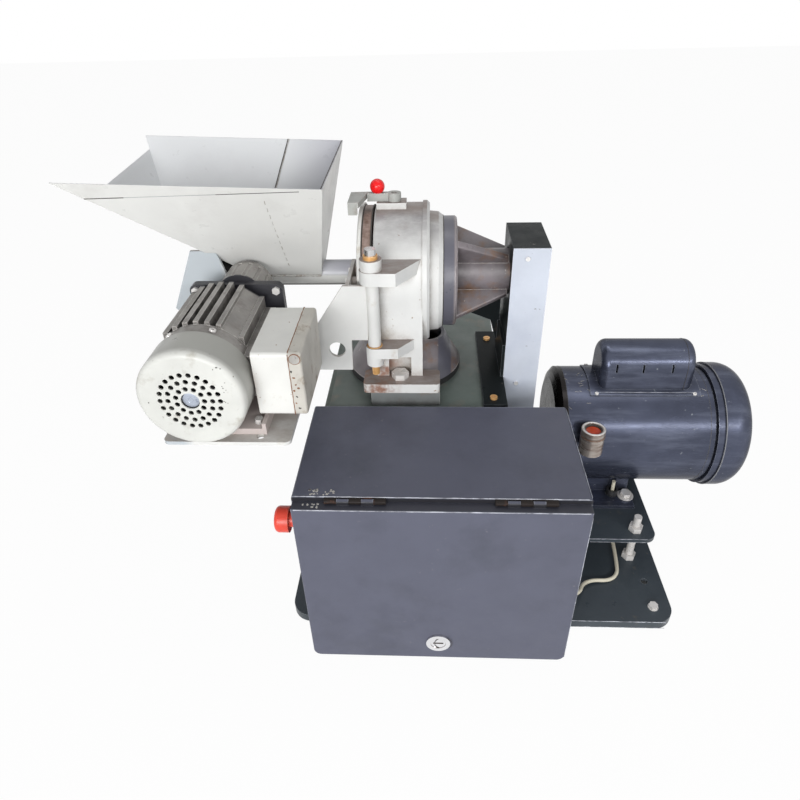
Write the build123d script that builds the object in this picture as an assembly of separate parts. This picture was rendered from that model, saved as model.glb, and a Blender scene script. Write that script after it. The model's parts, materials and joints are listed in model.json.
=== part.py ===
from build123d import *
import os
from math import cos, pi, radians, sin, sqrt, tan

# Bench-top laboratory disc mill with auger feeder.
# Datum while modelling: x from the control box's left side, y from its front edge, z from a level
# plane 20 mm under the base plate. Every node is moved by origin_x, origin_y and origin_z on export,
# so the origin is the middle of the footprint on the bench.
# Millimetres, +X along the spindle towards the main motor, +Y away from the operator, +Z up.

# ---------- driving dimensions ----------
running = 0.05            # radial clearance of shafts in bearings and bushes
seat_gap = 0.3            # clearance between pieces that are only fitted against each other
bolt_gap = 0.3            # radial clearance of a bolt in its hole
cut = 1.0                 # how far a cutting shape runs past the face it cuts
sunk = 1.0                # how far a joined shape is sunk into the one that carries it

base_under = 20.0
foot_height = 8.0
foot_r = 12.0
base_thickness = 12.0
base_top = base_under + base_thickness
base_corner_r = 25.0
foot_inset = 23.0
bench_hole_inset_x, bench_hole_inset_y = 23.0, 64.0
bench_hole_r = 4.5
foot_bolt_r = 3.0
foot_bolt_af = 10.0
foot_bolt_head = 4.0
bolt_r = 4.0
bolt_head_af = 13.0
bolt_head_height = 5.5

box_width = 300.0
box_depth = 156.0
box_height = 250.0
box_wall = 1.5
box_lip = 10.0
box_corner_r = 3.0
door_drop = 6.0
door_depth = 12.5
door_gap = 0.8
door_bottom_gap = 1.4
door_wall = 1.5
door_corner_r = 9.0
hinge_barrel_r = 2.8
hinge_pin_r = 1.3
hinge_length = 62.0
hinge_inset = 34.0
hinge_y = -3.3
hinge_drop = 3.0
lock_r = 14.0
lock_barrel_r = 9.0
lock_height = 33.0
lock_cam_length = 26.0
lock_cam_width = 11.0
estop_y, estop_drop = 40.0, 73.0
estop_head_r = 15.0
estop_head_length = 16.0
estop_stem_r = 9.0
estop_collar_r = 17.0
estop_collar_length = 7.0
estop_travel = 4.0
estop_reach = 33.0

stand_left = 8.0
stand_width = 221.0
stand_right = stand_left + stand_width
stand_gap = 4.0
stand_depth = 270.0
stand_front = box_depth + stand_gap
stand_back = stand_front + stand_depth
stand_height = 242.0
stand_angle = 30.0
stand_wall = 4.0
stand_pad = 44.0
stand_pad_thickness = 5.0
table_thickness = 8.0
table_inset = 8.0
table_left = stand_left + table_inset
table_top_z = base_top + stand_height
outlet_hole_r = 40.0

spindle_inset = 112.0
spindle_height = 131.0
spindle_y = stand_front + spindle_inset
spindle_z = table_top_z + spindle_height

box_to_motor = 6.0
motor_plate_width = 134.0
motor_plate_left = box_width + box_to_motor
motor_plate_right = motor_plate_left + motor_plate_width
motor_plate_ahead, motor_plate_behind = 140.0, 124.0
motor_plate_front, motor_plate_back = spindle_y - motor_plate_ahead, spindle_y + motor_plate_behind
motor_plate_height = 53.0
motor_plate_top = base_top + motor_plate_height
motor_plate_thickness = 6.0
plate_corner_r = 14.0
stud_r = 5.0
stud_front_inset_x, stud_front_inset_y = 24.5, 18.0
stud_back_inset_x, stud_back_inset_y = 33.0, 30.0
stud_above_plate = 24.0
nut_af = 16.0
nut_height = 8.0

base_margin_left, base_margin_right = 46.0, 9.0
base_margin_back = 10.0
base_left, base_right = stand_left - base_margin_left, motor_plate_right + base_margin_right
base_front, base_back = 43.0, stand_back + base_margin_back

motor_shaft_height = 88.9
motor_z = motor_plate_top + motor_shaft_height
motor_r = 80.0
motor_wall = 4.0
motor_length = 210.0
motor_left = motor_plate_left
motor_right = motor_left + motor_length
end_bell_length = 14.0
motor_foot_inset = 26.0
motor_foot_length = 92.0
motor_foot_left = motor_left + motor_foot_inset
motor_foot_right = motor_foot_left + motor_foot_length
motor_foot_width = 165.0
motor_foot_thickness = 5.0
motor_bolt_span_x, motor_bolt_span_y = 76.2, 123.8
motor_slot_length = 22.0
motor_shaft_r = 8.0
motor_bearing_r = 18.0
motor_bearing_width = 12.0
rotor_r = 44.0
air_gap = 0.5
stator_length = 90.0
fan_cover_rim = 6.0
fan_cover_r = motor_r + fan_cover_rim
fan_cover_gap = 3.0
fan_cover_length = 42.0
fan_cover_wall = 2.0
motor_fan_r = 62.0
motor_fan_width = 15.0
can_inset = 56.0
can_length = 120.0
can_left = motor_left + can_inset
can_right = can_left + can_length
can_half_width = 30.0
can_height = 132.0
can_wall = 1.6
can_flange = 9.0
capacitor_r = 18.0
reset_inset = 39.0
reset_ahead = 12.0
reset_x = motor_left + reset_inset
reset_y = spindle_y - motor_r - reset_ahead
reset_r = 15.0
reset_bore_r = 11.0
reset_rise = 23.1
reset_length = 35.0
reset_bottom = motor_z + reset_rise
reset_top = reset_bottom + reset_length
reset_travel = 3.0

guard_gap = 4.0
guard_width = 43.0
guard_left = stand_right + guard_gap
guard_right = guard_left + guard_width
guard_half_depth = 44.0
guard_over, guard_under = 45.0, 51.9
guard_bottom, guard_top = motor_z - guard_under, spindle_z + guard_over
guard_wall = 2.0
spindle_pulley_r = 31.0
motor_pulley_r = 35.0
pulley_width = 24.0
pulley_flange = 2.5
pulley_flange_r = 3.5
belt_width = 18.0
belt_thickness = 5.0

mill_inset = 59.0
mill_length = 55.0
mill_front = table_left + mill_inset
mill_back = mill_front + mill_length
mill_r = 82.0
mill_wall = 8.0
mill_flange_step = 2.0
mill_flange_width = 8.0
mill_flange_r = mill_r + mill_flange_step
mill_flange_end = mill_back + mill_flange_width
neck_step = 10.0
neck_fall = 5.0
neck_length = 15.5
neck_r = mill_r - neck_step
neck_end_r = neck_r - neck_fall
neck_end = mill_flange_end + neck_length
bearing_flange_step = 1.0
bearing_flange_width = 16.5
bearing_flange_r = neck_end_r - bearing_flange_step
bearing_flange_end = neck_end + bearing_flange_width
spindle_bearing_r = 23.5
spindle_bearing_width = 14.0
hub_wall = 4.5
hub_r = spindle_bearing_r + hub_wall
rib_count = 4
rib_angle = 38.0
rib_thickness = 9.0
rib_inner_r = hub_r - sunk
rib_edge_step = 2.0
rib_outer_r = bearing_flange_r - rib_edge_step
rib_tip_rise = 5.0
rib_tip_r = hub_r + rib_tip_rise
spindle_r = 10.0
foot_overhang = 16.0
foot_length = 92.0
foot_left = mill_front - foot_overhang
foot_right = foot_left + foot_length
foot_half_depth = 102.0
foot_front_y = spindle_y - foot_half_depth
foot_flange_depth = 34.0
pedestal_height = 18.4
foot_flange_thickness = 12.0
foot_flange_bottom = table_top_z + pedestal_height
foot_flange_top = foot_flange_bottom + foot_flange_thickness
leg_depth = 16.0
dome_inset = 30.0
dome_x = mill_front + dome_inset
dome_r = 73.0
dome_neck_r = 38.0
dome_height = 60.0
dome_wall = 4.0
dome_ring_height = 9.0

disc_r = 60.0
disc_thickness = 12.0
disc_gap = 0.6
inlet_r = 16.0
groove_count = 12
door_r = mill_r
mill_door_gap = 2.5
door_ring_width = 11.5
door_rim_width = 4.5
door_ring_step = 3.0
door_ring_end = mill_front - mill_door_gap
door_rim_right = door_ring_end - door_ring_width
door_rim_left = door_rim_right - door_rim_width
door_ring_r = door_r - door_ring_step

pin_ahead = 96.0
pin_x, pin_y = mill_front, spindle_y - pin_ahead
pin_r = 5.0
lug_r = 13.0
bush_r = 8.0
sleeve_r = 7.5
upper_lug_rise = 29.0
upper_lug_height = 15.0
upper_boss_height = 12.0
upper_lug_bottom = spindle_z + upper_lug_rise
upper_lug_top = upper_lug_bottom + upper_lug_height
upper_boss_top = upper_lug_top + upper_boss_height
lower_lug_drop = 63.0
lower_lug_height = 13.0
lower_boss_height = 11.0
lower_lug_bottom = spindle_z - lower_lug_drop
lower_lug_top = lower_lug_bottom + lower_lug_height
lower_boss_bottom = lower_lug_bottom - lower_boss_height
lower_boss_r = 10.0

sheet = 4.0
shelf_setback = 75.0
shelf_length = 130.0
shelf_right = pin_x - shelf_setback
shelf_left = shelf_right - shelf_length
bracket_depth = 55.0
shelf_depth = 202.0
arm_y = pin_y + bracket_depth
shelf_front = arm_y - shelf_depth
shelf_drop = 77.0
shelf_top = spindle_z - shelf_drop
gear_inset = 43.5
gear_shaft_height = 56.0
gear_x = shelf_left + gear_inset
gear_z = shelf_top + gear_shaft_height
cowl_r = 52.5
cowl_overhang = 9.0
cowl_length = 41.0
cowl_front = shelf_front - cowl_overhang
cowl_back = cowl_front + cowl_length
shield_r = 50.5
shield_length = 18.0
shield_back = cowl_back + shield_length
barrel_length = 41.0
head_flange_thickness = 10.0
head_flange_back = arm_y - barrel_length
body_back = head_flange_back - head_flange_thickness
core_r = 42.0
fin_r = 54.0
fin_thickness = 5.0
head_flange_half = 43.5
barrel_offset_x, barrel_offset_z = 10.5, 25.0
barrel_x, barrel_z = gear_x + barrel_offset_x, gear_z + barrel_offset_z
barrel_r = 28.0
tube_r = 15.0
tube_wall = 1.5
auger_shaft_r = 4.0
auger_pitch = 22.0
auger_blade = 2.0
auger_gap = 0.8

hopper_inset = 6.0
hopper_base_length = 81.0
hopper_right_bottom = shelf_right + hopper_inset
hopper_left_bottom = hopper_right_bottom - hopper_base_length
tube_overhang = 7.0
tube_left = hopper_left_bottom - tube_overhang
rim_reach_left, rim_reach_right = 158.0, 24.0
rim_left, rim_right = hopper_left_bottom - rim_reach_left, hopper_right_bottom + rim_reach_right
rim_skew_left, rim_skew_right = 10.0, 2.0
rim_half_depth = 104.8
rim_rise_left, rim_rise_right = 141.2, 131.5
rim_left_z, rim_right_z = spindle_z + rim_rise_left, spindle_z + rim_rise_right
fold_reach, fold_back, fold_rise = 109.9, 35.0, 35.9
fold_x, fold_y, fold_z = hopper_left_bottom - fold_reach, spindle_y + fold_back, spindle_z + fold_rise
hopper_wall = 1.5

latch_inset, latch_ahead, latch_rise = 22.0, 2.0, 6.5
latch_pivot_x, latch_pivot_y = mill_front + latch_inset, spindle_y - latch_ahead
latch_under_z = spindle_z + mill_r + latch_rise
latch_thickness = 9.0
knob_r = 8.5

# ---------- derived ----------
lock_face = 3.0
origin_x = (rim_left - rim_skew_left + motor_right + fan_cover_gap + fan_cover_length) / 2
origin_y = (base_back - door_gap - door_depth - lock_face) / 2
origin_z = base_under - foot_height
box_top = base_top + box_height
motor_mid = (motor_left + motor_right) / 2
foot_xs = (base_left + foot_inset, base_right - foot_inset)
foot_ys = (base_front + foot_inset, base_back - foot_inset)


# ---------- shape helpers ----------
def block(x0, x1, y0, y1, z0, z1):
    return Pos((x0 + x1) / 2, (y0 + y1) / 2, (z0 + z1) / 2) * Box(x1 - x0, y1 - y0, z1 - z0)


def rod_x(x0, x1, y, z, r):
    return Pos((x0 + x1) / 2, y, z) * Rot(0, 90, 0) * Cylinder(r, x1 - x0)


def rod_y(x, y0, y1, z, r):
    return Pos(x, (y0 + y1) / 2, z) * Rot(90, 0, 0) * Cylinder(r, y1 - y0)


def rod_z(x, y, z0, z1, r):
    return Pos(x, y, (z0 + z1) / 2) * Cylinder(r, z1 - z0)


def outline(points):
    return make_face(Polyline(*points, close=True))


def plate_x(points, x0, x1):
    return Pos(x0, 0, 0) * extrude(Plane.YZ * outline(points), x1 - x0)


def plate_y(points, y0, y1):
    return Pos(0, y1, 0) * extrude(Plane.XZ * outline(points), y1 - y0)


def plate_z(points, z0, z1):
    return Pos(0, 0, z0) * extrude(outline(points), z1 - z0)


def turned_x(points, y, z):
    return Pos(0, y, z) * revolve(Plane.XZ * outline(points), Axis.X)


def turned_y(points, x, z):
    return Pos(x, 0, z) * revolve(Plane.YZ * outline(points), Axis.Y)


def turned_z(points, x, y):
    return Pos(x, y, 0) * revolve(Plane.XZ * outline(points), Axis.Z)


def rounded_plate(x0, x1, y0, y1, z0, z1, r):
    sheet_face = RectangleRounded(x1 - x0, y1 - y0, r)
    return Pos((x0 + x1) / 2, (y0 + y1) / 2, z0) * extrude(sheet_face, z1 - z0)


def standing_at(point, facing, shape):
    return Plane(origin=point, z_dir=facing).location * shape


def hex_bolt(point, facing, r, length, across_flats, head):
    shank = Cylinder(r, length, align=(Align.CENTER, Align.CENTER, Align.MAX))
    cap = extrude(RegularPolygon(across_flats / 2, 6, major_radius=False), head)
    return standing_at(point, facing, shank + cap)


def hex_nut(point, facing, across_flats, height, bore):
    body = extrude(RegularPolygon(across_flats / 2, 6, major_radius=False), height)
    body -= Pos(0, 0, height / 2) * Cylinder(bore, 2 * height)
    return standing_at(point, facing, body)


def pan_screw(point, facing, r, length):
    head = 1.1 * r
    shank = Cylinder(r, length, align=(Align.CENTER, Align.CENTER, Align.MAX))
    cap = Cylinder(1.8 * r, head, align=(Align.CENTER, Align.CENTER, Align.MIN))
    slot = Pos(0, 0, head) * Box(2.6 * r, 0.5 * r, head)
    return standing_at(point, facing, shank + cap - slot)


def group(shapes):
    return Compound([shape.solid() for shape in shapes])


def spun_x(shape, y, z, angle):
    return Pos(0, y, z) * Rot(angle, 0, 0) * Pos(0, -y, -z) * shape


# ---------- base and stand ----------
screw_r = 2.5
small_screw_r = 1.5
mount_bolt_r = 6.0
mount_bolt_af = 18.0
mount_bolt_head = 7.5
mill_bolt_setback = 28.0
mill_bolt_x = mill_front + mill_bolt_setback
mill_bolt_inset = 17.0
rail_height = 30.0
foot_taper = 1.5
foot_bolt_depth = 5.0


def stud_points():
    front_y = motor_plate_front + stud_front_inset_y
    back_y = motor_plate_back - stud_back_inset_y
    return [
        (motor_plate_left + stud_front_inset_x, front_y), (motor_plate_right - stud_front_inset_x, front_y),
        (motor_plate_left + stud_back_inset_x, back_y), (motor_plate_right - stud_back_inset_x, back_y),
    ]


def motor_bolt_points():
    foot_mid = (motor_foot_left + motor_foot_right) / 2
    xs = (foot_mid - motor_bolt_span_x / 2, foot_mid + motor_bolt_span_x / 2)
    ys = (spindle_y - motor_bolt_span_y / 2, spindle_y + motor_bolt_span_y / 2)
    return [(x, y) for x in xs for y in ys]


def mill_bolt_points():
    back = 2 * spindle_y - foot_front_y
    return [(mill_bolt_x, foot_front_y + mill_bolt_inset), (mill_bolt_x, back - mill_bolt_inset)]


def make_base_plate():
    plate = rounded_plate(base_left, base_right, base_front, base_back, base_under, base_top, base_corner_r)
    for x in foot_xs:
        for y in foot_ys:
            plate -= rod_z(x, y, 0, 2 * base_top, foot_bolt_r + bolt_gap)
    for x in (base_left + bench_hole_inset_x, base_right - bench_hole_inset_x):
        for y in (base_front + bench_hole_inset_y, base_back - bench_hole_inset_y):
            plate -= rod_z(x, y, 0, 2 * base_top, bench_hole_r)
    for x, y in stud_points():
        plate -= rod_z(x, y, 0, 2 * base_top, stud_r + bolt_gap)
    return plate


def make_rubber_feet():
    feet = []
    for x in foot_xs:
        for y in foot_ys:
            foot = Pos(x, y, base_under - foot_height / 2) * Cone(foot_r - foot_taper, foot_r, foot_height)
            foot -= rod_z(x, y, base_under - foot_bolt_depth - bolt_gap, base_top, foot_bolt_r + bolt_gap)
            feet.append(foot)
    return group(feet)


def make_stand_frame():
    top = table_top_z - table_thickness
    inner_left, inner_right = stand_left + stand_wall, stand_right - stand_wall
    inner_front, inner_back = stand_front + stand_wall, stand_back - stand_wall
    pad_top = base_top + stand_pad_thickness
    legs = []
    for x, sx in ((stand_left, 1), (stand_right, -1)):
        for y, sy in ((stand_front, 1), (stand_back, -1)):
            x_far, y_far = x + sx * stand_angle, y + sy * stand_angle
            x_in, y_in = x + sx * stand_wall, y + sy * stand_wall
            x_pad, y_pad = x + sx * stand_pad, y + sy * stand_pad
            leg = block(min(x, x_far), max(x, x_far), min(y, y_in), max(y, y_in), base_top, top)
            leg += block(min(x, x_in), max(x, x_in), min(y, y_far), max(y, y_far), base_top, top)
            leg += block(min(x, x_pad), max(x, x_pad), min(y, y_pad), max(y, y_pad), base_top, pad_top)
            legs.append(leg)
    ring = block(stand_left, stand_right, stand_front, stand_back, top - rail_height, top)
    ring -= block(inner_left, inner_right, inner_front, inner_back, 0, top - stand_wall)
    flange = stand_angle - mount_bolt_r
    ring -= block(stand_left + flange, stand_right - flange, stand_front + flange, stand_back - flange,
                  0, 2 * top)
    for leg in legs:
        ring += leg
    for x, y in mill_bolt_points():
        ring -= rod_z(x, y, top - rail_height, 2 * top, mount_bolt_r + bolt_gap)
    return ring


def make_table_top():
    top = block(table_left, stand_right, stand_front, stand_back, table_top_z - table_thickness, table_top_z)
    top -= rod_z(dome_x, spindle_y, 0, 2 * table_top_z, outlet_hole_r)
    for x, y in mill_bolt_points():
        top -= rod_z(x, y, 0, 2 * table_top_z, mount_bolt_r + bolt_gap)
    return top


# ---------- control box ----------
rim_rise = 6.5
panel_inset = 22.0
panel_thickness = 2.0
panel_standoff = 14.0
standoff_r = 6.0
rail_above_base = 133.0
rail_z = base_top + rail_above_base
rail_half = 17.5
rail_depth = 7.5
contactor_left, contactor_width, contactor_height, contactor_depth = 60.0, 45.0, 76.0, 72.0
terminal_left, terminal_width, terminal_count = 140.0, 8.0, 10
terminal_height, terminal_depth = 44.0, 36.0
gland_y = 62.0
gland_above_base = 20.0
gland_z = base_top + gland_above_base
gland_r = 8.0
gland_nut_r = 11.0
gland_nut_length = 6.0
gland_reach = 8.0
gland_inside = 8.0
grommet_height = 9.0
door_inset = 1.0
knuckles = 5
knuckle_gap = 0.3
seal_width = 9.0
lock_well = 1.5
lock_slot_length, lock_slot_width = 12.0, 2.4
lock_cam_thickness = 3.0
estop_hole_r = 11.0
estop_barrel_end = 26.0
estop_block_left, estop_block_right = 24.0, 58.0
estop_block_half_depth, estop_block_half_height = 20.0, 15.0
estop_stem_end = 18.0
estop_round = 5.0


def box_front_opening():
    return block(box_lip, box_width - box_lip, -box_depth, box_depth / 2,
                 base_top + box_lip, box_top - box_lip)


def estop_place():
    return estop_y, box_top - estop_drop


def lock_z():
    return base_top + lock_height


def make_box_shell():
    outer = block(0, box_width, 0, box_depth, base_top, box_top)
    outer = fillet(outer.edges().filter_by(Axis.Y), box_corner_r)
    inner = block(box_wall, box_width - box_wall, box_wall, box_depth - box_wall,
                  base_top + box_wall, box_top - box_wall)
    rim = block(box_lip - box_wall, box_width - box_lip + box_wall, -rim_rise, box_wall,
                base_top + box_lip - box_wall, box_top - box_lip + box_wall)
    shell = outer - inner + rim - box_front_opening()
    y, z = estop_place()
    shell -= rod_x(-box_wall, 2 * box_wall, y, z, estop_hole_r + bolt_gap)
    shell -= rod_x(box_width - 2 * box_wall, box_width + box_wall, gland_y, gland_z, gland_r + bolt_gap)
    return shell


def make_mounting_panel():
    back = box_depth - box_wall
    front = back - panel_standoff
    panel = block(panel_inset, box_width - panel_inset, front - panel_thickness, front,
                  base_top + panel_inset, box_top - panel_inset)
    for x in (2 * panel_inset, box_width - 2 * panel_inset):
        for z in (base_top + 2 * panel_inset, box_top - 2 * panel_inset):
            panel += rod_y(x, front, back, z, standoff_r)
    return panel


def make_control_gear():
    panel_face = box_depth - box_wall - panel_standoff - panel_thickness
    face = panel_face - rail_depth
    rail = block(2 * panel_inset, box_width - 2 * panel_inset, face, panel_face,
                 rail_z - rail_half, rail_z + rail_half)
    slot = rail_half - 2 * panel_thickness
    rail -= block(0, box_width, face - cut, panel_face - panel_thickness, rail_z - slot, rail_z + slot)
    contactor = block(contactor_left, contactor_left + contactor_width, face - contactor_depth, face,
                      rail_z - contactor_height / 2, rail_z + contactor_height / 2)
    step = contactor_height / 4
    for z in (rail_z - contactor_height / 2, rail_z + contactor_height / 2):
        contactor -= block(0, box_width, face - contactor_depth, face - contactor_depth / 2,
                           z - step, z + step)
    pieces = [rail, contactor]
    for index in range(terminal_count):
        x = terminal_left + index * (terminal_width + knuckle_gap)
        slice_shape = block(x, x + terminal_width, face - terminal_depth, face,
                            rail_z - terminal_height / 2, rail_z + terminal_height / 2)
        for side in (-1, 1):
            screw_z = rail_z + side * terminal_height / 3
            slice_shape -= rod_y(x + terminal_width / 2, face - 2 * terminal_depth, face - terminal_depth / 2,
                                 screw_z, terminal_width / 4)
        pieces.append(slice_shape)
    return group(pieces)


def hinge_starts():
    return (hinge_inset, box_width - hinge_inset - hinge_length)


def knuckle_spans(start, fixed):
    pitch = hinge_length / knuckles
    spans = []
    for index in range(knuckles):
        if (index % 2 == 0) == fixed:
            left = start + index * pitch
            spans.append((left + knuckle_gap / 2, left + pitch - knuckle_gap / 2))
    return spans


def make_door_hinges():
    z = box_top - hinge_drop
    leaf_top = z + hinge_barrel_r
    hinges = []
    for start in hinge_starts():
        hinge = rod_x(start, start + hinge_length, hinge_y, z, hinge_pin_r)
        for x0, x1 in knuckle_spans(start, True):
            hinge += rod_x(x0, x1, hinge_y, z, hinge_barrel_r)
            hinge += block(x0, x1, hinge_y, 0, z + hinge_pin_r, leaf_top)
        hinge += block(start, start + hinge_length, -box_wall / 3, 0, z + hinge_pin_r, leaf_top)
        hinges.append(hinge)
    return group(hinges)


def make_box_door():
    front, back = -door_gap - door_depth, -door_gap
    left, right = door_inset, box_width - door_inset
    bottom, top = base_top + door_bottom_gap, box_top - door_drop
    outer = block(left, right, front, back, bottom, top)
    outer = fillet(outer.edges().filter_by(Axis.Y).group_by(Axis.Z)[0], door_corner_r)
    inner = block(left + door_wall, right - door_wall, front + door_wall, back + cut,
                  bottom + door_wall, top - door_wall)
    inner = fillet(inner.edges().filter_by(Axis.Y).group_by(Axis.Z)[0], door_corner_r - door_wall)
    door = outer - inner
    door = fillet(door.faces().sort_by(Axis.Y)[0].outer_wire().edges(), door_wall)
    door -= rod_y(box_width / 2, front - cut, cut, lock_z(), lock_barrel_r + running)
    z = box_top - hinge_drop
    for start in hinge_starts():
        for x0, x1 in knuckle_spans(start, False):
            door += rod_x(x0, x1, hinge_y, z, hinge_barrel_r)
            door += block(x0, x1, hinge_y - hinge_barrel_r, hinge_y, top - door_wall, z)
            door -= rod_x(x0 - cut, x1 + cut, hinge_y, z, hinge_pin_r + running)
    return door


def make_door_seal():
    front = -door_gap - door_depth + door_wall
    mid = box_lip - box_wall / 2
    half = seal_width / 2
    low, high = base_top + mid, box_top - mid
    ring = block(mid - half, box_width - mid + half, front, -rim_rise - seat_gap, low - half, high + half)
    ring = fillet(ring.edges().filter_by(Axis.Y).group_by(Axis.Z)[0], door_corner_r - door_wall)
    limit = box_top - door_drop - door_wall
    ring -= block(0, box_width, front - cut, cut, limit, box_top)
    ring -= block(mid + half, box_width - mid - half, -2 * door_depth, cut, low + half, high - half)
    return ring


def make_cam_lock():
    x, z = box_width / 2, lock_z()
    front = -door_gap - door_depth
    cam_front = 3 * box_wall
    cam_back = cam_front + lock_cam_thickness
    lock = rod_y(x, front - lock_face, front - running, z, lock_r)
    lock -= rod_y(x, front - 2 * lock_face, front - lock_well, z, lock_barrel_r)
    lock += rod_y(x, front - lock_face + lock_well / 2, cam_back + lock_cam_thickness, z, lock_barrel_r)
    lock -= block(x - lock_slot_length / 2, x + lock_slot_length / 2, front - 2 * lock_face, front - running,
                  z - lock_slot_width / 2, z + lock_slot_width / 2)
    half = lock_cam_width / 2
    return lock + block(x, x + lock_cam_length, cam_front, cam_back, z - half, z + half)


def make_estop_body():
    y, z = estop_place()
    body = rod_x(-estop_collar_length, 0, y, z, estop_collar_r)
    body += rod_x(-sunk, estop_barrel_end, y, z, estop_hole_r)
    body += block(estop_block_left, estop_block_right, y - estop_block_half_depth, y + estop_block_half_depth,
                  z - estop_block_half_height, z + estop_block_half_height)
    well_end = estop_stem_end + 2 * sunk + estop_travel
    return body - rod_x(-2 * estop_collar_length, well_end, y, z, estop_stem_r + running)


def make_estop_button():
    y, z = estop_place()
    head_end = -estop_reach + estop_head_length
    head = rod_x(-estop_reach, head_end, y, z, estop_head_r)
    head = fillet(head.edges().group_by(Axis.X)[0], estop_round)
    return head + rod_x(head_end - sunk, estop_stem_end, y, z, estop_stem_r)


# ---------- motor cable ----------
cable_r = 2.5
cable_bore_r = 2.6
motor_gland_inset, motor_gland_ahead = 66.0, 57.0
motor_gland_x, motor_gland_y = motor_foot_left + motor_gland_inset, spindle_y - motor_gland_ahead
motor_cable_hole_r = 5.5
cable_end_z = 113.0
cable_points = [
    (284.0, 62.0, 52.0), (328.0, 62.0, 52.0), (344.0, 103.0, 38.0), (391.0, 104.5, 35.0),
    (398.0, 151.0, 35.0), (398.5, 192.0, 42.0), (398.0, 215.0, 75.0), (398.0, 215.0, cable_end_z),
]


def make_cable_glands():
    right = box_width + gland_nut_length
    nut = rod_x(box_width, right, gland_y, gland_z, gland_nut_r)
    nut += rod_x(box_width - gland_inside, box_width + sunk, gland_y, gland_z, gland_r)
    nut += rod_x(right - sunk, box_width + gland_reach, gland_y, gland_z, gland_r)
    nut -= rod_x(box_width - gland_inside - cut, box_width + gland_reach + cut, gland_y, gland_z,
                 cable_bore_r)
    foot_top = motor_plate_top + motor_foot_thickness
    x, y = motor_gland_x, motor_gland_y
    grommet = rod_z(x, y, foot_top, foot_top + grommet_height, gland_r)
    grommet -= rod_z(x, y, 0, 2 * foot_top, motor_cable_hole_r)
    return group([nut, grommet])


def cable_radii(points):
    radii = []
    for before, here, after in zip(points, points[1:], points[2:]):
        run_in = Vector(*here) - Vector(*before)
        run_out = Vector(*after) - Vector(*here)
        half_turn = radians(run_in.get_angle(run_out)) / 2
        radii.append(0.45 * min(run_in.length, run_out.length) / tan(half_turn))
    return radii


def make_motor_lead():
    radii = cable_radii(cable_points)
    path = FilletPolyline(*cable_points, radius=radii)
    lead = sweep(Plane(origin=path @ 0, z_dir=path % 0) * Circle(cable_r), path=path)
    print("motor_lead radii", [round(r, 1) for r in radii])
    print("motor_lead length", round(path.length, 1), "volume", round(lead.volume),
          "section times length", round(pi * cable_r ** 2 * path.length))
    return lead


# ---------- main motor ----------
bell_spigot = 8.0
bell_wall = 5.0
bell_chamfer = 3.0
bell_slope = 6.0
bell_shoulder = 16.0
bell_round_end = 8.0
bell_web = 6.0
bell_recess = 10.0
cover_seat_reach = 12.0
cover_seat_depth = 4.0
cover_seat_root = 6.0
web_half = 48.0
web_inset = 4.0
web_thickness = 5.0
rotor_tail = 26.0
fan_start = 9.0
fan_disc = 3.0
blade_count = 6
blade_thickness = 3.0
pulley_inset = 10.0
pulley_left = guard_left + pulley_inset


def make_motor_plate():
    bottom = motor_plate_top - motor_plate_thickness
    plate = rounded_plate(motor_plate_left, motor_plate_right, motor_plate_front, motor_plate_back,
                          bottom, motor_plate_top, plate_corner_r)
    for x, y in stud_points():
        plate -= rod_z(x, y, 0, 2 * motor_plate_top, stud_r + bolt_gap)
    for x, y in motor_bolt_points():
        plate -= rod_z(x, y, 0, 2 * motor_plate_top, bolt_r + bolt_gap)
    return plate - rod_z(motor_gland_x, motor_gland_y, 0, 2 * motor_plate_top, gland_r + bolt_gap)


def make_jack_studs():
    top = motor_plate_top + stud_above_plate
    return group([rod_z(x, y, base_under, top, stud_r) for x, y in stud_points()])


def make_jack_nuts():
    bottom = motor_plate_top - motor_plate_thickness
    nuts = []
    for x, y in stud_points():
        for z in (base_top, bottom - nut_height, motor_plate_top):
            nuts.append(hex_nut((x, y, z), (0, 0, 1), nut_af, nut_height, stud_r))
    return group(nuts)


def make_motor_shell():
    left, right = motor_left + end_bell_length, motor_right - end_bell_length
    foot_top = motor_plate_top + motor_foot_thickness
    half = motor_foot_width / 2
    web_top = motor_z - motor_r / 2
    shell = block(motor_foot_left, motor_foot_right, spindle_y - half, spindle_y + half,
                  motor_plate_top, foot_top)
    for side in (-1, 1):
        y = spindle_y + side * web_half
        shell += block(motor_foot_left + web_inset, motor_foot_right - web_inset,
                       y - web_thickness / 2, y + web_thickness / 2, motor_plate_top, web_top)
    shell += rod_x(left, right, spindle_y, motor_z, motor_r)
    shell -= rod_x(left - cut, right + cut, spindle_y, motor_z, motor_r - motor_wall)
    for x, y in motor_bolt_points():
        slot = Pos(x, y, motor_plate_top) * SlotOverall(motor_slot_length, 2 * (bolt_r + bolt_gap))
        shell -= extrude(slot, 2 * motor_foot_thickness)
    return shell - rod_z(motor_gland_x, motor_gland_y, 0, web_top, gland_r + bolt_gap)


def bell_profile(face, direction):
    spigot_end = end_bell_length + bell_spigot
    spigot_r = motor_r - motor_wall - running
    inner_r = motor_r - motor_wall - bell_wall
    hub_outer = motor_bearing_r + bell_wall
    steps = [
        (0, motor_bearing_r), (0, motor_r - bell_shoulder), (bell_chamfer, motor_r - bell_slope),
        (bell_round_end, motor_r), (end_bell_length, motor_r), (end_bell_length, spigot_r),
        (spigot_end, spigot_r), (spigot_end, inner_r), (bell_recess, inner_r),
        (bell_web, inner_r - bell_recess), (bell_web, hub_outer), (end_bell_length, hub_outer),
        (end_bell_length, motor_bearing_r),
    ]
    return [(face + direction * along, r) for along, r in steps]


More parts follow.
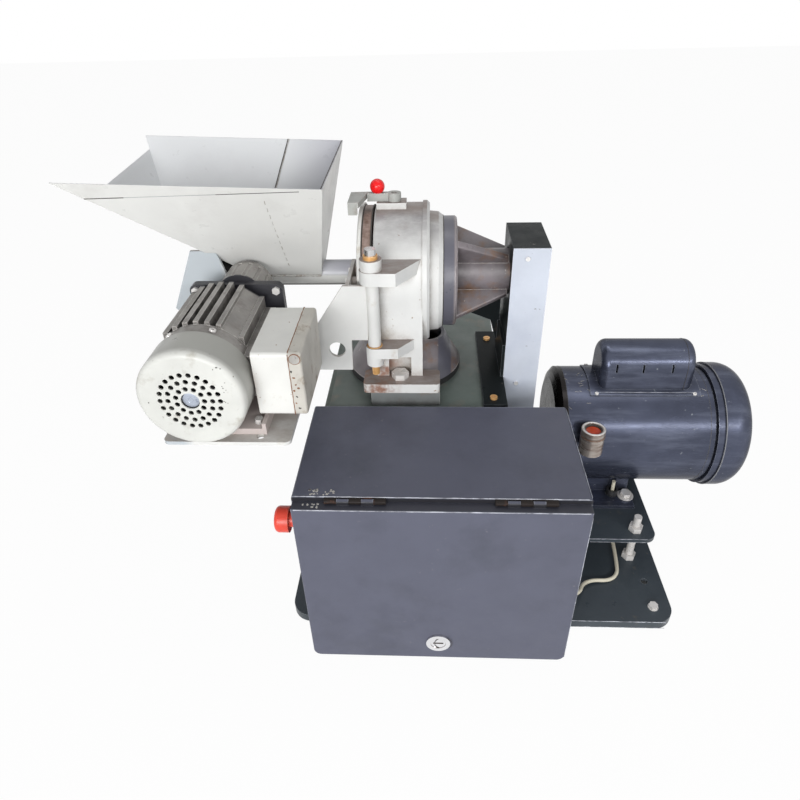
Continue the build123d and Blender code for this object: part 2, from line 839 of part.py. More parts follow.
def make_end_bells():
    left = turned_x(bell_profile(motor_left, 1), spindle_y, motor_z)
    right = turned_x(bell_profile(motor_right, -1), spindle_y, motor_z)
    seat = fan_cover_r - fan_cover_wall - seat_gap
    root, tip = motor_right - cover_seat_root, motor_right + cover_seat_reach
    under = seat - cover_seat_depth
    ring = [(root, seat), (tip, seat), (tip, under), (motor_right - bell_chamfer, under),
            (root, motor_r - bell_slope)]
    return group([left, right + turned_x(ring, spindle_y, motor_z)])


dome_corner = 28.0
vent_count = 20
vent_inner, vent_outer, vent_width = 24.0, 52.0, 4.0


def make_fan_cover():
    start = motor_right + fan_cover_gap
    end = start + fan_cover_length
    cover = rod_x(start, end, spindle_y, motor_z, fan_cover_r)
    cover = fillet(cover.edges().group_by(Axis.X)[-1], dome_corner)
    inside = rod_x(start - cut, end - fan_cover_wall, spindle_y, motor_z, fan_cover_r - fan_cover_wall)
    inside = fillet(inside.edges().group_by(Axis.X)[-1], dome_corner - fan_cover_wall)
    cover -= inside
    for index in range(vent_count):
        angle = index * 360 / vent_count
        vent = block(end - 2 * fan_cover_wall, end + cut, spindle_y + vent_inner, spindle_y + vent_outer,
                     motor_z - vent_width / 2, motor_z + vent_width / 2)
        cover -= spun_x(vent, spindle_y, motor_z, angle)
    return cover


spindle_bearing_inset = 6.0
hub_entry = 7.0
spindle_bearing_left = bearing_flange_end + spindle_bearing_inset
hub_right = guard_left + hub_entry
bearing_recess = 1.0
hub_bearing_recess = 2.0


def bearing_race(x0, width, z, outer_r, bore_r):
    race = rod_x(x0, x0 + width, spindle_y, z, outer_r)
    return race - rod_x(x0 - cut, x0 + width + cut, spindle_y, z, bore_r + running)


def make_bearings():
    races = []
    for x0 in (motor_left + bearing_recess, motor_right - bearing_recess - motor_bearing_width):
        races.append(bearing_race(x0, motor_bearing_width, motor_z, motor_bearing_r, motor_shaft_r))
    for x0 in (spindle_bearing_left, hub_right - spindle_bearing_width - hub_bearing_recess):
        races.append(bearing_race(x0, spindle_bearing_width, spindle_z, spindle_bearing_r, spindle_r))
    return group(races)


can_flap_left, can_flap_right = 12.0, 10.0
can_side_left, can_side_right = can_left - can_flap_left, can_right + can_flap_right
can_side_half = 38.0
can_round = 10.0
can_slot_insets = (18.0, 52.0, 89.0)
can_slot_width = 2.0
can_slot_rise, can_slot_height = 102.1, 11.0


def make_capacitor_cover():
    inner_r, outer_r = motor_r + seat_gap, motor_r + seat_gap + can_wall
    half = can_half_width
    crown = motor_z + can_height - half
    side = rod_x(can_side_left, can_side_right, spindle_y, motor_z, outer_r)
    side -= rod_x(can_side_left - cut, can_side_right + cut, spindle_y, motor_z, inner_r)
    side -= block(0, 2 * motor_right, 0, spindle_y - can_side_half, 0, 2 * motor_z)
    side -= block(0, 2 * motor_right, spindle_y + can_side_half, 2 * spindle_y, 0, 2 * motor_z)
    side -= block(0, 2 * motor_right, 0, 2 * spindle_y, 0, motor_z)
    can = block(can_left, can_right, spindle_y - half, spindle_y + half, motor_z, crown)
    can += rod_x(can_left, can_right, spindle_y, crown, half)
    can = fillet(can.edges().group_by(Axis.X)[0] + can.edges().group_by(Axis.X)[-1], can_round)
    hollow = block(can_left + can_wall, can_right - can_wall, spindle_y - half + can_wall,
                   spindle_y + half - can_wall, 0, crown)
    hollow += rod_x(can_left + can_wall, can_right - can_wall, spindle_y, crown, half - can_wall)
    ends = hollow.edges().group_by(Axis.X)[0] + hollow.edges().group_by(Axis.X)[-1]
    hollow = fillet(ends, can_round - can_wall)
    cover = can + side - hollow - rod_x(0, 2 * motor_right, spindle_y, motor_z, inner_r)
    slot_bottom = motor_z + can_slot_rise
    for inset in can_slot_insets:
        x = can_left + inset
        cover -= block(x - can_slot_width / 2, x + can_slot_width / 2, spindle_y - 2 * half, spindle_y,
                       slot_bottom, slot_bottom + can_slot_height)
    return cover


saddle_half = 7.0
saddle_drop = 12.0
reset_well = 12.0
reset_sink = 3.0
reset_round = 3.0


def make_reset_collar():
    collar = rod_z(reset_x, reset_y, reset_bottom, reset_top, reset_r)
    collar += block(reset_x - saddle_half, reset_x + saddle_half, reset_y, spindle_y - motor_r / 2,
                    reset_bottom, reset_top - saddle_drop)
    collar -= rod_x(0, 2 * motor_right, spindle_y, motor_z, motor_r + seat_gap)
    return collar - rod_z(reset_x, reset_y, reset_top - reset_well, reset_top + cut, reset_bore_r + running)


def make_reset_button():
    bottom = reset_top - reset_well + reset_travel + cut
    button = rod_z(reset_x, reset_y, bottom, reset_top - reset_sink, reset_bore_r)
    return fillet(button.edges().group_by(Axis.Z)[-1], reset_round)


def pulley_profile(r, shaft_r):
    left, right = pulley_left, pulley_left + pulley_width + 2 * pulley_flange
    outer = r + pulley_flange_r
    return [(left, shaft_r), (left, outer), (left + pulley_flange, outer), (left + pulley_flange, r),
            (right - pulley_flange, r), (right - pulley_flange, outer), (right, outer), (right, shaft_r)]


def make_motor_rotor():
    rotor = rod_x(pulley_left, motor_right + rotor_tail, spindle_y, motor_z, motor_shaft_r)
    return rotor + rod_x(motor_mid - stator_length / 2, motor_mid + stator_length / 2,
                         spindle_y, motor_z, rotor_r)


def make_motor_fan():
    left = motor_right + fan_start
    right = left + motor_fan_width
    root_r = 2 * motor_shaft_r - sunk
    fan = rod_x(left, right, spindle_y, motor_z, 2 * motor_shaft_r)
    fan += rod_x(left, left + fan_disc, spindle_y, motor_z, motor_fan_r)
    for index in range(blade_count):
        blade = block(left, right, spindle_y - blade_thickness / 2, spindle_y + blade_thickness / 2,
                      motor_z + root_r, motor_z + motor_fan_r)
        fan += spun_x(blade, spindle_y, motor_z, index * 360 / blade_count)
    return fan - rod_x(left - cut, right + cut, spindle_y, motor_z, motor_shaft_r)


def make_motor_pulley():
    return turned_x(pulley_profile(motor_pulley_r, motor_shaft_r), spindle_y, motor_z)


# ---------- belt drive ----------
cover_thickness = 1.5
guard_lip = 2.0
tab_half = 6.0
tab_from_top, tab_middle, tab_from_bottom = 12.0, 147.0, 14.0
tab_zs = (guard_top - tab_from_top, guard_bottom + tab_middle, guard_bottom + tab_from_bottom)
cover_screw_inset = 17.0
cover_screw_x = guard_left + cover_screw_inset
cover_screw_length = 3.0
guard_hub_gap = 1.0
shaft_hole_r = 14.0
bracket_thickness = 4.0
bracket_reach = 29.0
bracket_rise = 46.0
bracket_ahead, bracket_behind = 106.0, 78.0
bracket_front, bracket_back = spindle_y - bracket_ahead, spindle_y + bracket_behind
brace_behind, brace_thickness = 26.0, 4.0
brace_top, brace_low = 52.0, 61.0
brace_guard_points = [(-2.0, -49.0), (-2.0, -105.0), (-6.0, -110.0), (-14.0, -81.0)]
bracket_screw_offsets = [(-16.0, -92.0), (-14.5, 55.0)]


def make_drive_belt():
    x0 = pulley_left + pulley_flange + (pulley_width - belt_width) / 2
    faces = []
    for grow in (seat_gap + belt_thickness, seat_gap):
        low = Pos(spindle_y, motor_z) * Circle(motor_pulley_r + grow)
        high = Pos(spindle_y, spindle_z) * Circle(spindle_pulley_r + grow)
        faces.append(make_hull(low.edges() + high.edges()))
    band = Plane.YZ * (faces[0] - faces[1])
    return Pos(x0, 0, 0) * extrude(band, belt_width)


def bracket_screws():
    return [(guard_left + x, spindle_y + y) for x, y in bracket_screw_offsets]


def guard_ys():
    return spindle_y - guard_half_depth + guard_lip, spindle_y + guard_half_depth


def make_belt_guard():
    front, back = guard_ys()
    guard = block(guard_left, guard_right, front, back, guard_bottom, guard_top)
    guard -= block(guard_left + guard_wall, guard_right - guard_wall, front - cut, back - guard_wall,
                   guard_bottom + guard_wall, guard_top - guard_wall)
    for z in tab_zs:
        guard += block(guard_left, guard_right, front, front + cover_thickness, z - tab_half, z + tab_half)
        guard -= rod_y(cover_screw_x, front - cut, front + 2 * cover_thickness, z, small_screw_r + bolt_gap)
    wall = guard_wall + cut
    guard -= rod_x(guard_left - cut, guard_left + wall, spindle_y, spindle_z, hub_r + guard_hub_gap)
    return guard - rod_x(guard_right - wall, guard_right + cut, spindle_y, motor_z, shaft_hole_r)


def make_guard_cover():
    front, back = guard_ys()
    plate = block(guard_left, guard_right, front - cover_thickness, front, guard_bottom, guard_top)
    for z in tab_zs:
        plate -= rod_y(cover_screw_x, 0, front + cut, z, small_screw_r + bolt_gap)
    return plate


def make_guard_bracket():
    top = table_top_z + bracket_thickness
    front, back = guard_ys()
    bracket = block(guard_left - bracket_reach, guard_left, bracket_front, bracket_back, table_top_z, top)
    bracket += block(guard_left - bracket_thickness, guard_left, front, back, table_top_z, top + bracket_rise)
    start = bearing_flange_end + seat_gap
    brace = [(start, spindle_z - brace_low), (start, spindle_z - brace_top)]
    brace += [(guard_left + x, spindle_z + z) for x, z in brace_guard_points]
    bracket += plate_y(brace, spindle_y + brace_behind, spindle_y + brace_behind + brace_thickness)
    for x, y in bracket_screws():
        bracket -= rod_z(x, y, 0, 2 * top, screw_r + bolt_gap)
    return bracket


# ---------- mill ----------
outlet_half = 22.0
outlet_inset = 6.0
shaft_bore_r = 13.0
rim_chamfer = 1.5
flange_chamfer = 3.0
neck_taper, neck_taper_length = 1.0, 5.0
foot_round = 5.0
housing_pad_top = latch_under_z - seat_gap
latch_pad_half, latch_pad_left, latch_pad_reach, latch_pad_sink = 10.0, 2.0, 14.0, 4.0
latch_pivot_r = 3.5
wrench_height = 26.0
lug_bend, lug_reach = 27.0, 56.0
lug_bend_x, lug_end_x = pin_x + lug_bend, pin_x + lug_reach
upper_lug_side, upper_lug_root, lower_lug_side = 30.0, 64.0, 26.0
upper_lug_side_y, upper_lug_root_y = pin_y + upper_lug_side, pin_y + upper_lug_root
lower_lug_side_y = pin_y + lower_lug_side
boss_step = 1.0
pedestal_inset, pedestal_depth = 9.0, 27.0


def make_mill_housing():
    profile = [
        (mill_front, mill_r - mill_wall), (mill_front, mill_r - rim_chamfer),
        (mill_front + rim_chamfer, mill_r),
        (mill_back, mill_r), (mill_back, mill_flange_r), (mill_flange_end - flange_chamfer, mill_flange_r),
        (mill_flange_end, mill_flange_r - flange_chamfer), (mill_flange_end, neck_r),
        (neck_end - neck_taper_length, neck_r - neck_taper), (neck_end, neck_end_r), (neck_end, shaft_bore_r),
        (mill_back - mill_wall, shaft_bore_r), (mill_back - mill_wall, mill_r - mill_wall),
    ]
    housing = turned_x(profile, spindle_y, spindle_z)
    for side in (-1, 1):
        wall_y, inner_y = spindle_y + side * mill_r, spindle_y + side * (mill_r - leg_depth)
        housing += block(mill_front, mill_back, min(wall_y, inner_y), max(wall_y, inner_y),
                         foot_flange_bottom, spindle_z)
        edge = spindle_y + side * (spindle_y - foot_front_y)
        inner = edge - side * foot_flange_depth
        foot = block(foot_left, foot_right, min(edge, inner), max(edge, inner),
                     foot_flange_bottom, foot_flange_top)
        housing += fillet(foot.edges().filter_by(Axis.Z), foot_round)
    lug_root = pin_x + sunk
    upper = [(pin_x, pin_y - lug_r), (lug_bend_x, pin_y - lug_r), (lug_end_x, upper_lug_side_y),
             (lug_end_x, upper_lug_root_y), (lug_root, upper_lug_root_y), (lug_root, pin_y + lug_r),
             (pin_x, pin_y + lug_r)]
    housing += plate_z(upper, upper_lug_bottom, upper_lug_top)
    housing += rod_z(pin_x, pin_y, upper_lug_bottom, upper_lug_top, lug_r)
    housing += rod_z(pin_x, pin_y, upper_lug_top - sunk, upper_boss_top, lug_r - boss_step)
    lower = [(pin_x, pin_y - lower_boss_r), (lug_bend_x, pin_y - lower_boss_r + boss_step),
             (lug_end_x - boss_step, lower_lug_side_y), (lug_root, lower_lug_side_y),
             (lug_root, pin_y + lower_boss_r), (pin_x, pin_y + lower_boss_r)]
    housing += plate_z(lower, lower_lug_bottom, lower_lug_top)
    housing += rod_z(pin_x, pin_y, lower_boss_bottom, lower_lug_top, lower_boss_r)
    housing += block(mill_front + latch_pad_left, latch_pivot_x + latch_pad_reach,
                     latch_pivot_y - latch_pad_half, latch_pivot_y + latch_pad_half,
                     spindle_z + mill_r - latch_pad_sink, housing_pad_top)
    housing += rod_z(latch_pivot_x, latch_pivot_y, housing_pad_top - sunk,
                     latch_under_z + latch_thickness - sunk, latch_pivot_r)
    housing -= rod_x(mill_front - cut, mill_back - mill_wall, spindle_y, spindle_z, mill_r - mill_wall)
    housing -= rod_z(pin_x, pin_y, lower_boss_bottom - cut, upper_boss_top + cut, pin_r + running)
    pocket = mount_bolt_af * 0.75
    for x, y in mill_bolt_points():
        housing -= rod_z(x, y, foot_flange_bottom - cut, foot_flange_top + cut, mount_bolt_r + bolt_gap)
        housing -= block(x - pocket, x + pocket, y - pocket, y + pocket, foot_flange_top,
                         foot_flange_top + wrench_height)
    outlet = block(mill_front + outlet_inset, mill_back - mill_wall, spindle_y - outlet_half,
                   spindle_y + outlet_half, spindle_z - mill_r - cut, spindle_z - mill_r / 2)
    return housing - outlet


def make_pedestals():
    blocks = []
    for x, y in mill_bolt_points():
        front = min(y, 2 * spindle_y - y) - mill_bolt_inset
        back = foot_front_y + pedestal_depth
        low, high = (front, back) if y < spindle_y else (2 * spindle_y - back, 2 * spindle_y - front)
        shape = block(foot_left + pedestal_inset, foot_right, low, high, table_top_z, foot_flange_bottom)
        blocks.append(shape - rod_z(x, y, 0, 2 * table_top_z, mount_bolt_r + bolt_gap))
    return group(blocks)


hood_top_sink = 20.0
hood_steps = [(0.0, 0.0), (3.0, 7.0), (8.0, 15.0), (14.0, 25.0), (18.0, 35.0), (24.0, 44.0), (29.0, 52.0),
              (32.0, 62.0)]
hood_door_gap = 2.0
hood_rim_inside = 6.0
hood_rim_proud = 0.5


def make_outlet_hood():
    bottom = table_top_z + dome_ring_height - cut
    top = spindle_z - mill_r + hood_top_sink
    outer = [(dome_r - inward, bottom + rise) for inward, rise in hood_steps if bottom + rise < top]
    outer.append((dome_neck_r + sunk, top))
    inner = [(r - dome_wall, z) for r, z in reversed(outer)]
    hood = turned_z(outer + inner, dome_x, spindle_y)
    hood -= rod_x(mill_front - seat_gap, 2 * mill_back, spindle_y, spindle_z, mill_flange_r + seat_gap)
    hood -= rod_x(0, mill_front, spindle_y, spindle_z, door_r + hood_door_gap)
    leg_half = mill_r - leg_depth - seat_gap
    flange = spindle_y - foot_front_y - foot_flange_depth - seat_gap
    far = 2 * mill_r
    for side in (-1, 1):
        y0, y1 = sorted((spindle_y + side * leg_half, spindle_y + side * far))
        hood -= block(mill_front - cut, mill_back + cut, y0, y1, foot_flange_bottom - cut, 2 * spindle_z)
        y0, y1 = sorted((spindle_y + side * flange, spindle_y + side * far))
        hood -= block(foot_left - cut, foot_right + cut, y0, y1, foot_flange_bottom - cut, foot_flange_top + cut)
    return hood


def make_hood_rim():
    bottom, top = table_top_z, table_top_z + dome_ring_height - cut
    inner, outer = dome_r - hood_rim_inside, dome_r + hood_rim_proud
    return turned_z([(inner, bottom), (outer, bottom), (outer, top), (inner, top)], dome_x, spindle_y)


hub_taper = 0.5
edge_chamfer = 2.0
rib_guard_gap = 2.0


def make_bearing_housing():
    profile = [
        (neck_end, shaft_bore_r), (neck_end, bearing_flange_r - edge_chamfer / 2),
        (neck_end + edge_chamfer / 2, bearing_flange_r), (bearing_flange_end - edge_chamfer, bearing_flange_r),
        (bearing_flange_end, bearing_flange_r - edge_chamfer), (bearing_flange_end, hub_r),
        (hub_right, hub_r - hub_taper), (hub_right, spindle_bearing_r), (spindle_bearing_left, spindle_bearing_r),
        (spindle_bearing_left, shaft_bore_r),
    ]
    housing = turned_x(profile, spindle_y, spindle_z)
    rib_start, rib_end = bearing_flange_end - sunk, guard_left - rib_guard_gap
    points = [(rib_start, spindle_z + rib_inner_r), (rib_start, spindle_z + rib_outer_r),
              (rib_end, spindle_z + rib_tip_r), (rib_end, spindle_z + rib_inner_r)]
    rib = plate_y(points, spindle_y - rib_thickness / 2, spindle_y + rib_thickness / 2)
    rib = fillet(rib.faces().sort_by(Axis.Z)[-1].edges().filter_by(Axis.Y, reverse=True), edge_chamfer)
    for index in range(rib_count):
        housing += spun_x(rib, spindle_y, spindle_z, rib_angle + index * 360 / rib_count)
    return housing


disc_hub_length = 14.0
shaft_entry = 2.0
shaft_reach = 31.0
groove_width, groove_depth, groove_start_r = 4.0, 2.0, 24.0


def disc_left():
    return door_ring_end + disc_thickness + disc_gap


def make_spindle_shaft():
    return rod_x(disc_left() + shaft_entry, pulley_left + shaft_reach, spindle_y, spindle_z, spindle_r)


def grooved_disc(x0, x1, cut_from, cut_to, bore):
    disc = rod_x(x0, x1, spindle_y, spindle_z, disc_r)
    disc -= rod_x(x0 - cut, x1 + cut, spindle_y, spindle_z, bore)
    half = groove_width / 2
    for index in range(groove_count):
        groove = block(cut_from, cut_to, spindle_y - half, spindle_y + half, spindle_z + groove_start_r,
                       spindle_z + disc_r + cut)
        disc -= spun_x(groove, spindle_y, spindle_z, index * 360 / groove_count)
    return disc


def make_rotating_disc():
    left = disc_left()
    hub_end = left + disc_thickness + disc_hub_length
    disc = grooved_disc(left, left + disc_thickness, left - cut, left + groove_depth, spindle_r)
    hub = rod_x(left + disc_thickness - sunk, hub_end, spindle_y, spindle_z, 2 * spindle_r)
    return disc + hub - rod_x(left - cut, hub_end + cut, spindle_y, spindle_z, spindle_r)


def make_spindle_pulley():
    return turned_x(pulley_profile(spindle_pulley_r, spindle_r), spindle_y, spindle_z)


latch_arm_length, arm_half, arm_end_r = 31.0, 4.0, 8.0
claw_offsets = [(-50.0, 3.0), (-30.0, 4.0), (-38.0, -37.0), (-50.0, -37.0)]
claw_thickness = 6.0
claw_reach, claw_width, claw_ahead, claw_depth, claw_drop = 50.0, 10.0, 37.0, 6.0, 14.0
knob_reach = 19.0
knob_sink = 1.5


def make_latch_arm():
    z0, z1 = latch_under_z, latch_under_z + latch_thickness
    x, y = latch_pivot_x, latch_pivot_y
    arm = block(x - latch_arm_length, latch_pivot_x, latch_pivot_y - arm_half, latch_pivot_y + arm_half, z0, z1)
    arm += rod_z(latch_pivot_x, latch_pivot_y, z0, z1, arm_end_r)
    arm += plate_z([(x + along, y + across) for along, across in claw_offsets], z1 - claw_thickness, z1)
    arm += block(x - claw_reach, x - claw_reach + claw_width, y - claw_ahead, y - claw_ahead + claw_depth,
                 z1 - claw_drop, z1)
    return arm - rod_z(latch_pivot_x, latch_pivot_y, z0 - cut, z1 + cut, latch_pivot_r + running)


def make_ball_knob():
    top = latch_under_z + latch_thickness
    knob_x = latch_pivot_x - knob_reach
    ball = Pos(knob_x, latch_pivot_y, top + knob_r - knob_sink) * Sphere(knob_r)
    return ball - block(knob_x - 2 * knob_r, knob_x + 2 * knob_r, latch_pivot_y - 2 * knob_r,
                        latch_pivot_y + 2 * knob_r, top - 2 * knob_r, top)


# ---------- door hinge ----------
washer = 0.7
washer_r = 9.0
cap_r = 6.3
cap_height = 7.0
bush_height = 4.0
tail_stem_r = 2.8
tail_r = 4.5
tail_length = 14.0


def make_hinge_pin():
    top = upper_boss_top + bush_height
    pin = rod_z(pin_x, pin_y, lower_boss_bottom - cut, top, pin_r)
    pin += rod_z(pin_x, pin_y, lower_boss_bottom - tail_length - cut, lower_boss_bottom - cut, tail_stem_r)
    return pin + rod_z(pin_x, pin_y, top, top + cap_height, cap_r)


def make_hinge_bushes():
    places = [
        (upper_boss_top, upper_boss_top + bush_height, bush_r, pin_r),
        (upper_lug_bottom - washer, upper_lug_bottom, washer_r, pin_r),
        (lower_lug_top, lower_lug_top + washer, washer_r, pin_r),
        (lower_boss_bottom - tail_length, lower_boss_bottom - cut, tail_r, tail_stem_r),
    ]
    bushes = []
    for z0, z1, r, bore in places:
        bush = rod_z(pin_x, pin_y, z0, z1, r)
        bushes.append(bush - rod_z(pin_x, pin_y, z0 - cut, z1 + cut, bore + running))
    return group(bushes)


# ---------- swing-out feeder ----------
spacer_length = 6.5
flange_right = door_rim_left - spacer_length
flange_left = flange_right - sheet
flange_ahead = 23.0
flange_back = spindle_y - flange_ahead
spacer_r = 6.0
door_round = 1.5
door_bolt_offsets = [(-64.0, -23.0), (-64.0, 15.0), (-34.0, -23.0), (-34.0, 15.0)]
shelf_bolt_offsets = [(-122.0, 25.0), (-122.0, 96.0), (-35.5, 25.0), (-35.5, 96.0)]
shelf_hole_offsets = [(-113.5, 9.5), (-32.0, 9.5)]
shelf_hole_r = 4.0
shelf_corner_r = 6.0
boss_r = 24.0
boss_gap = 0.5
plate_rise, plate_drop = 103.0, 36.0
plate_points = [(-27.0, 0.0), (43.0, 103.0), (70.0, 103.0), (68.0, 36.0), (49.0, 36.0), (48.0, -4.0), (-27.0, -4.0)]
plate_hole_x, plate_hole_rise, plate_hole_r = 31.5, 23.5, 9.5
arm_points = [(-130.0, -4.0), (-130.0, 0.0), (-174.0, 48.0), (-141.0, 121.0), (-111.0, 121.0), (-101.0, 86.0),
              (-60.0, 50.0), (-40.0, 20.0), (-30.0, 0.0), (-30.0, -4.0)]


def on_shelf(points):
    return [(shelf_right + x, shelf_top + rise) for x, rise in points]


def door_bolt_points():
    return [(spindle_y + y, spindle_z + z) for y, z in door_bolt_offsets]


def shelf_points(offsets):
    return [(shelf_right + x, shelf_front + y) for x, y in offsets]


def make_mill_door():
    door = rod_x(door_rim_left, door_rim_right, spindle_y, spindle_z, door_r)
    door = fillet(door.edges().group_by(Axis.X)[0], door_round)
    door += rod_x(flange_right + boss_gap, door_rim_left + sunk, spindle_y, spindle_z, boss_r)
    for y, z in door_bolt_points():
        door += rod_x(flange_right, door_rim_left + sunk, y, z, spacer_r)
        door -= rod_x(flange_left, door_rim_right + cut, y, z, screw_r + bolt_gap)
    return door - rod_x(0, mill_front, spindle_y, spindle_z, tube_r)


def make_door_ring():
    ring = rod_x(door_rim_right, door_ring_end, spindle_y, spindle_z, door_ring_r)
    return ring - rod_x(door_rim_right - cut, door_ring_end + cut, spindle_y, spindle_z, disc_r + seat_gap)


def make_fixed_disc():
    right = door_ring_end + disc_thickness
    return grooved_disc(door_rim_right, right, right - groove_depth, right + cut, tube_r + boss_gap)


def make_feeder_bracket():
    shelf_bottom = shelf_top - sheet
    bracket = plate_y(on_shelf(plate_points), pin_y - sheet, pin_y)
    bracket -= rod_y(shelf_right + plate_hole_x, pin_y - 2 * sheet, pin_y + sheet, shelf_top + plate_hole_rise, plate_hole_r)
    bracket += rod_z(pin_x, pin_y, lower_lug_top + washer + seat_gap, upper_lug_bottom - washer - seat_gap, sleeve_r)
    bracket += block(flange_left, flange_right, pin_y - sheet, flange_back, shelf_top + plate_drop + sunk,
                     shelf_top + plate_rise)
    bracket += rounded_plate(shelf_left, shelf_right, shelf_front, arm_y + sheet, shelf_bottom, shelf_top,
                             shelf_corner_r)
    bracket += plate_y(on_shelf(arm_points), arm_y, arm_y + sheet) - hopper_solid(seat_gap, 0)
    bracket -= rod_z(pin_x, pin_y, 0, 2 * spindle_z, pin_r + running)
    for y, z in door_bolt_points():
        bracket -= rod_x(flange_left - cut, flange_right + cut, y, z, screw_r + bolt_gap)
    for x, y in shelf_points(shelf_bolt_offsets):
        bracket -= rod_z(x, y, shelf_bottom - cut, shelf_top + cut, screw_r + bolt_gap)
    for x, y in shelf_points(shelf_hole_offsets):
        bracket -= rod_z(x, y, shelf_bottom - cut, shelf_top + cut, shelf_hole_r)
    return bracket


hopper_seat_rise = 2.0
hopper_overshoot = 0.02


def hopper_rim_corners(grow):
    left, right = rim_left - grow, rim_right + grow
    front, back = spindle_y - rim_half_depth - grow, spindle_y + rim_half_depth + grow
    return [(left - rim_skew_left, front, rim_left_z), (left + rim_skew_left, back, rim_left_z),
            (right - rim_skew_right, back, rim_right_z), (right + rim_skew_right, front, rim_right_z)]


def hopper_solid(grow, overshoot):
    low = spindle_z + hopper_seat_rise
    bottom = [(hopper_left_bottom - grow, spindle_y - tube_r - grow, low),
              (hopper_left_bottom - grow, spindle_y + tube_r + grow, low),
              (hopper_right_bottom + grow, spindle_y + tube_r + grow, low),
              (hopper_right_bottom + grow, spindle_y - tube_r - grow, low)]
    top = []
    for corner, base in zip(hopper_rim_corners(grow), bottom):
        top.append(tuple(b + (c - b) * (1 + overshoot) for c, b in zip(corner, base)))
    return ConvexPolyhedron(bottom + top + [(fold_x - grow, fold_y + grow, fold_z)])


def make_hopper():
    body = hopper_solid(0, 0) + rod_x(tube_left, door_rim_right, spindle_y, spindle_z, tube_r)
    body -= rod_x(tube_left - cut, door_rim_right + cut, spindle_y, spindle_z, tube_r - tube_wall)
    body -= hopper_solid(-hopper_wall, hopper_overshoot)
    slot = block(hopper_left_bottom + hopper_wall, hopper_right_bottom - hopper_wall,
                 spindle_y - tube_r + 2 * tube_wall, spindle_y + tube_r - 2 * tube_wall,
                 spindle_z, spindle_z + tube_r - 2 * tube_wall)
    return body - slot


bevel_length, bevel_drop, bevel_rise = 58.0, 31.0, 28.0
bevel_right = tube_left
bevel_left = bevel_right - bevel_length
bevel_bottom, bevel_top = spindle_z - bevel_drop, spindle_z + bevel_rise
bevel_shoulder_rise, bevel_behind = 3.0, 28.0
bevel_shoulder_x, bevel_shoulder_z = (bevel_left + bevel_right) / 2, spindle_z + bevel_shoulder_rise
bevel_back = spindle_y + bevel_behind
shaft_socket = 14.0
auger_start_gap = 3.0


def make_auger():
    end = door_ring_end
    start = hopper_left_bottom + auger_start_gap
    blade_r = tube_r - tube_wall - auger_gap
    shaft = rod_x(bevel_right - shaft_socket + shaft_entry, end, spindle_y, spindle_z, auger_shaft_r)
    root_r = auger_shaft_r / 2
    centre = Vector(start, spindle_y, spindle_z)
    path = Helix(auger_pitch, end - start - auger_pitch / 4, (root_r + blade_r) / 2, center=centre, direction=(1, 0, 0))
    section = Plane(origin=path @ 0, x_dir=(path @ 0) - centre, z_dir=path % 0)
    blade = sweep(section * Rectangle(blade_r - root_r, auger_blade), path=path, is_frenet=True)
    return blade + shaft


def make_bevel_housing():
    points = [(bevel_left, bevel_bottom), (bevel_right, bevel_bottom), (bevel_right, bevel_shoulder_z),
              (bevel_shoulder_x, bevel_top), (bevel_left, bevel_top)]
    housing = plate_y(points, arm_y + sheet, bevel_back) - hopper_solid(seat_gap, 0)
    return housing - rod_x(bevel_right - shaft_socket, bevel_right + cut, spindle_y, spindle_z,
                           auger_shaft_r + running)


head_flange_reach, head_flange_rise = 61.5, 46.0
head_flange_right, head_flange_top = gear_x + head_flange_reach, gear_z + head_flange_rise
head_flange_round = 8.0
head_bolt_inset_x, head_bolt_inset_z = 7.0, 7.0
flute_count = 14
flute_r = 3.0
flute_offset = 1.8
flute_end = 6.0


def head_bolt_points():
    left, low = gear_x - head_flange_half + head_bolt_inset_x, gear_z - head_flange_half + head_bolt_inset_z
    right, high = head_flange_right - head_bolt_inset_x, head_flange_top - head_bolt_inset_z
    return [(left, low), (left, high), (right, low), (right, high)]


def make_gear_head():
    head = block(gear_x - head_flange_half, head_flange_right, body_back, head_flange_back,
                 gear_z - head_flange_half, head_flange_top)
    head = fillet(head.edges().filter_by(Axis.Y), head_flange_round)
    head += rod_y(barrel_x, head_flange_back - sunk, arm_y, barrel_z, barrel_r)
    for index in range(flute_count):
        angle = 2 * pi * index / flute_count
        reach = barrel_r + flute_offset
        head -= rod_y(barrel_x + reach * cos(angle), head_flange_back, arm_y - flute_end,
                      barrel_z + reach * sin(angle), flute_r)
    for x, z in head_bolt_points():
        head -= rod_y(x, body_back - cut, head_flange_back + cut, z, screw_r + bolt_gap)
    return head


pad_reach, pad_low, pad_high = 54.5, -22.0, 24.0
pad_right = gear_x + pad_reach
pad_back_inset = 12.0
fan_shaft_r = 5.0
body_spigot = 6.0
top_fin_offsets = (-35.0, -24.0, -13.0, -2.0, 9.0, 20.0, 40.0)
side_fin_offsets = (-36.0, -24.0, -12.0, 0.0, 12.0)
fin_end_gap = 8.0
saddle_points = [(18.0, 20.0), (18.0, 46.0), (22.5, 46.0), (37.0, 36.0), (37.0, 10.0)]
gear_foot_inset_right, gear_foot_inset_front, gear_foot_depth = 26.0, 13.0, 100.0
gear_foot_left, gear_foot_right = shelf_left, shelf_right - gear_foot_inset_right
gear_foot_front = shelf_front + gear_foot_inset_front
gear_foot_back = gear_foot_front + gear_foot_depth
gear_foot_thickness = 7.0
gear_foot_lip, gear_foot_lip_height = 4.0, 6.0
pillar_half, pillar_inset = 26.0, 42.0
fan_socket = 30.0


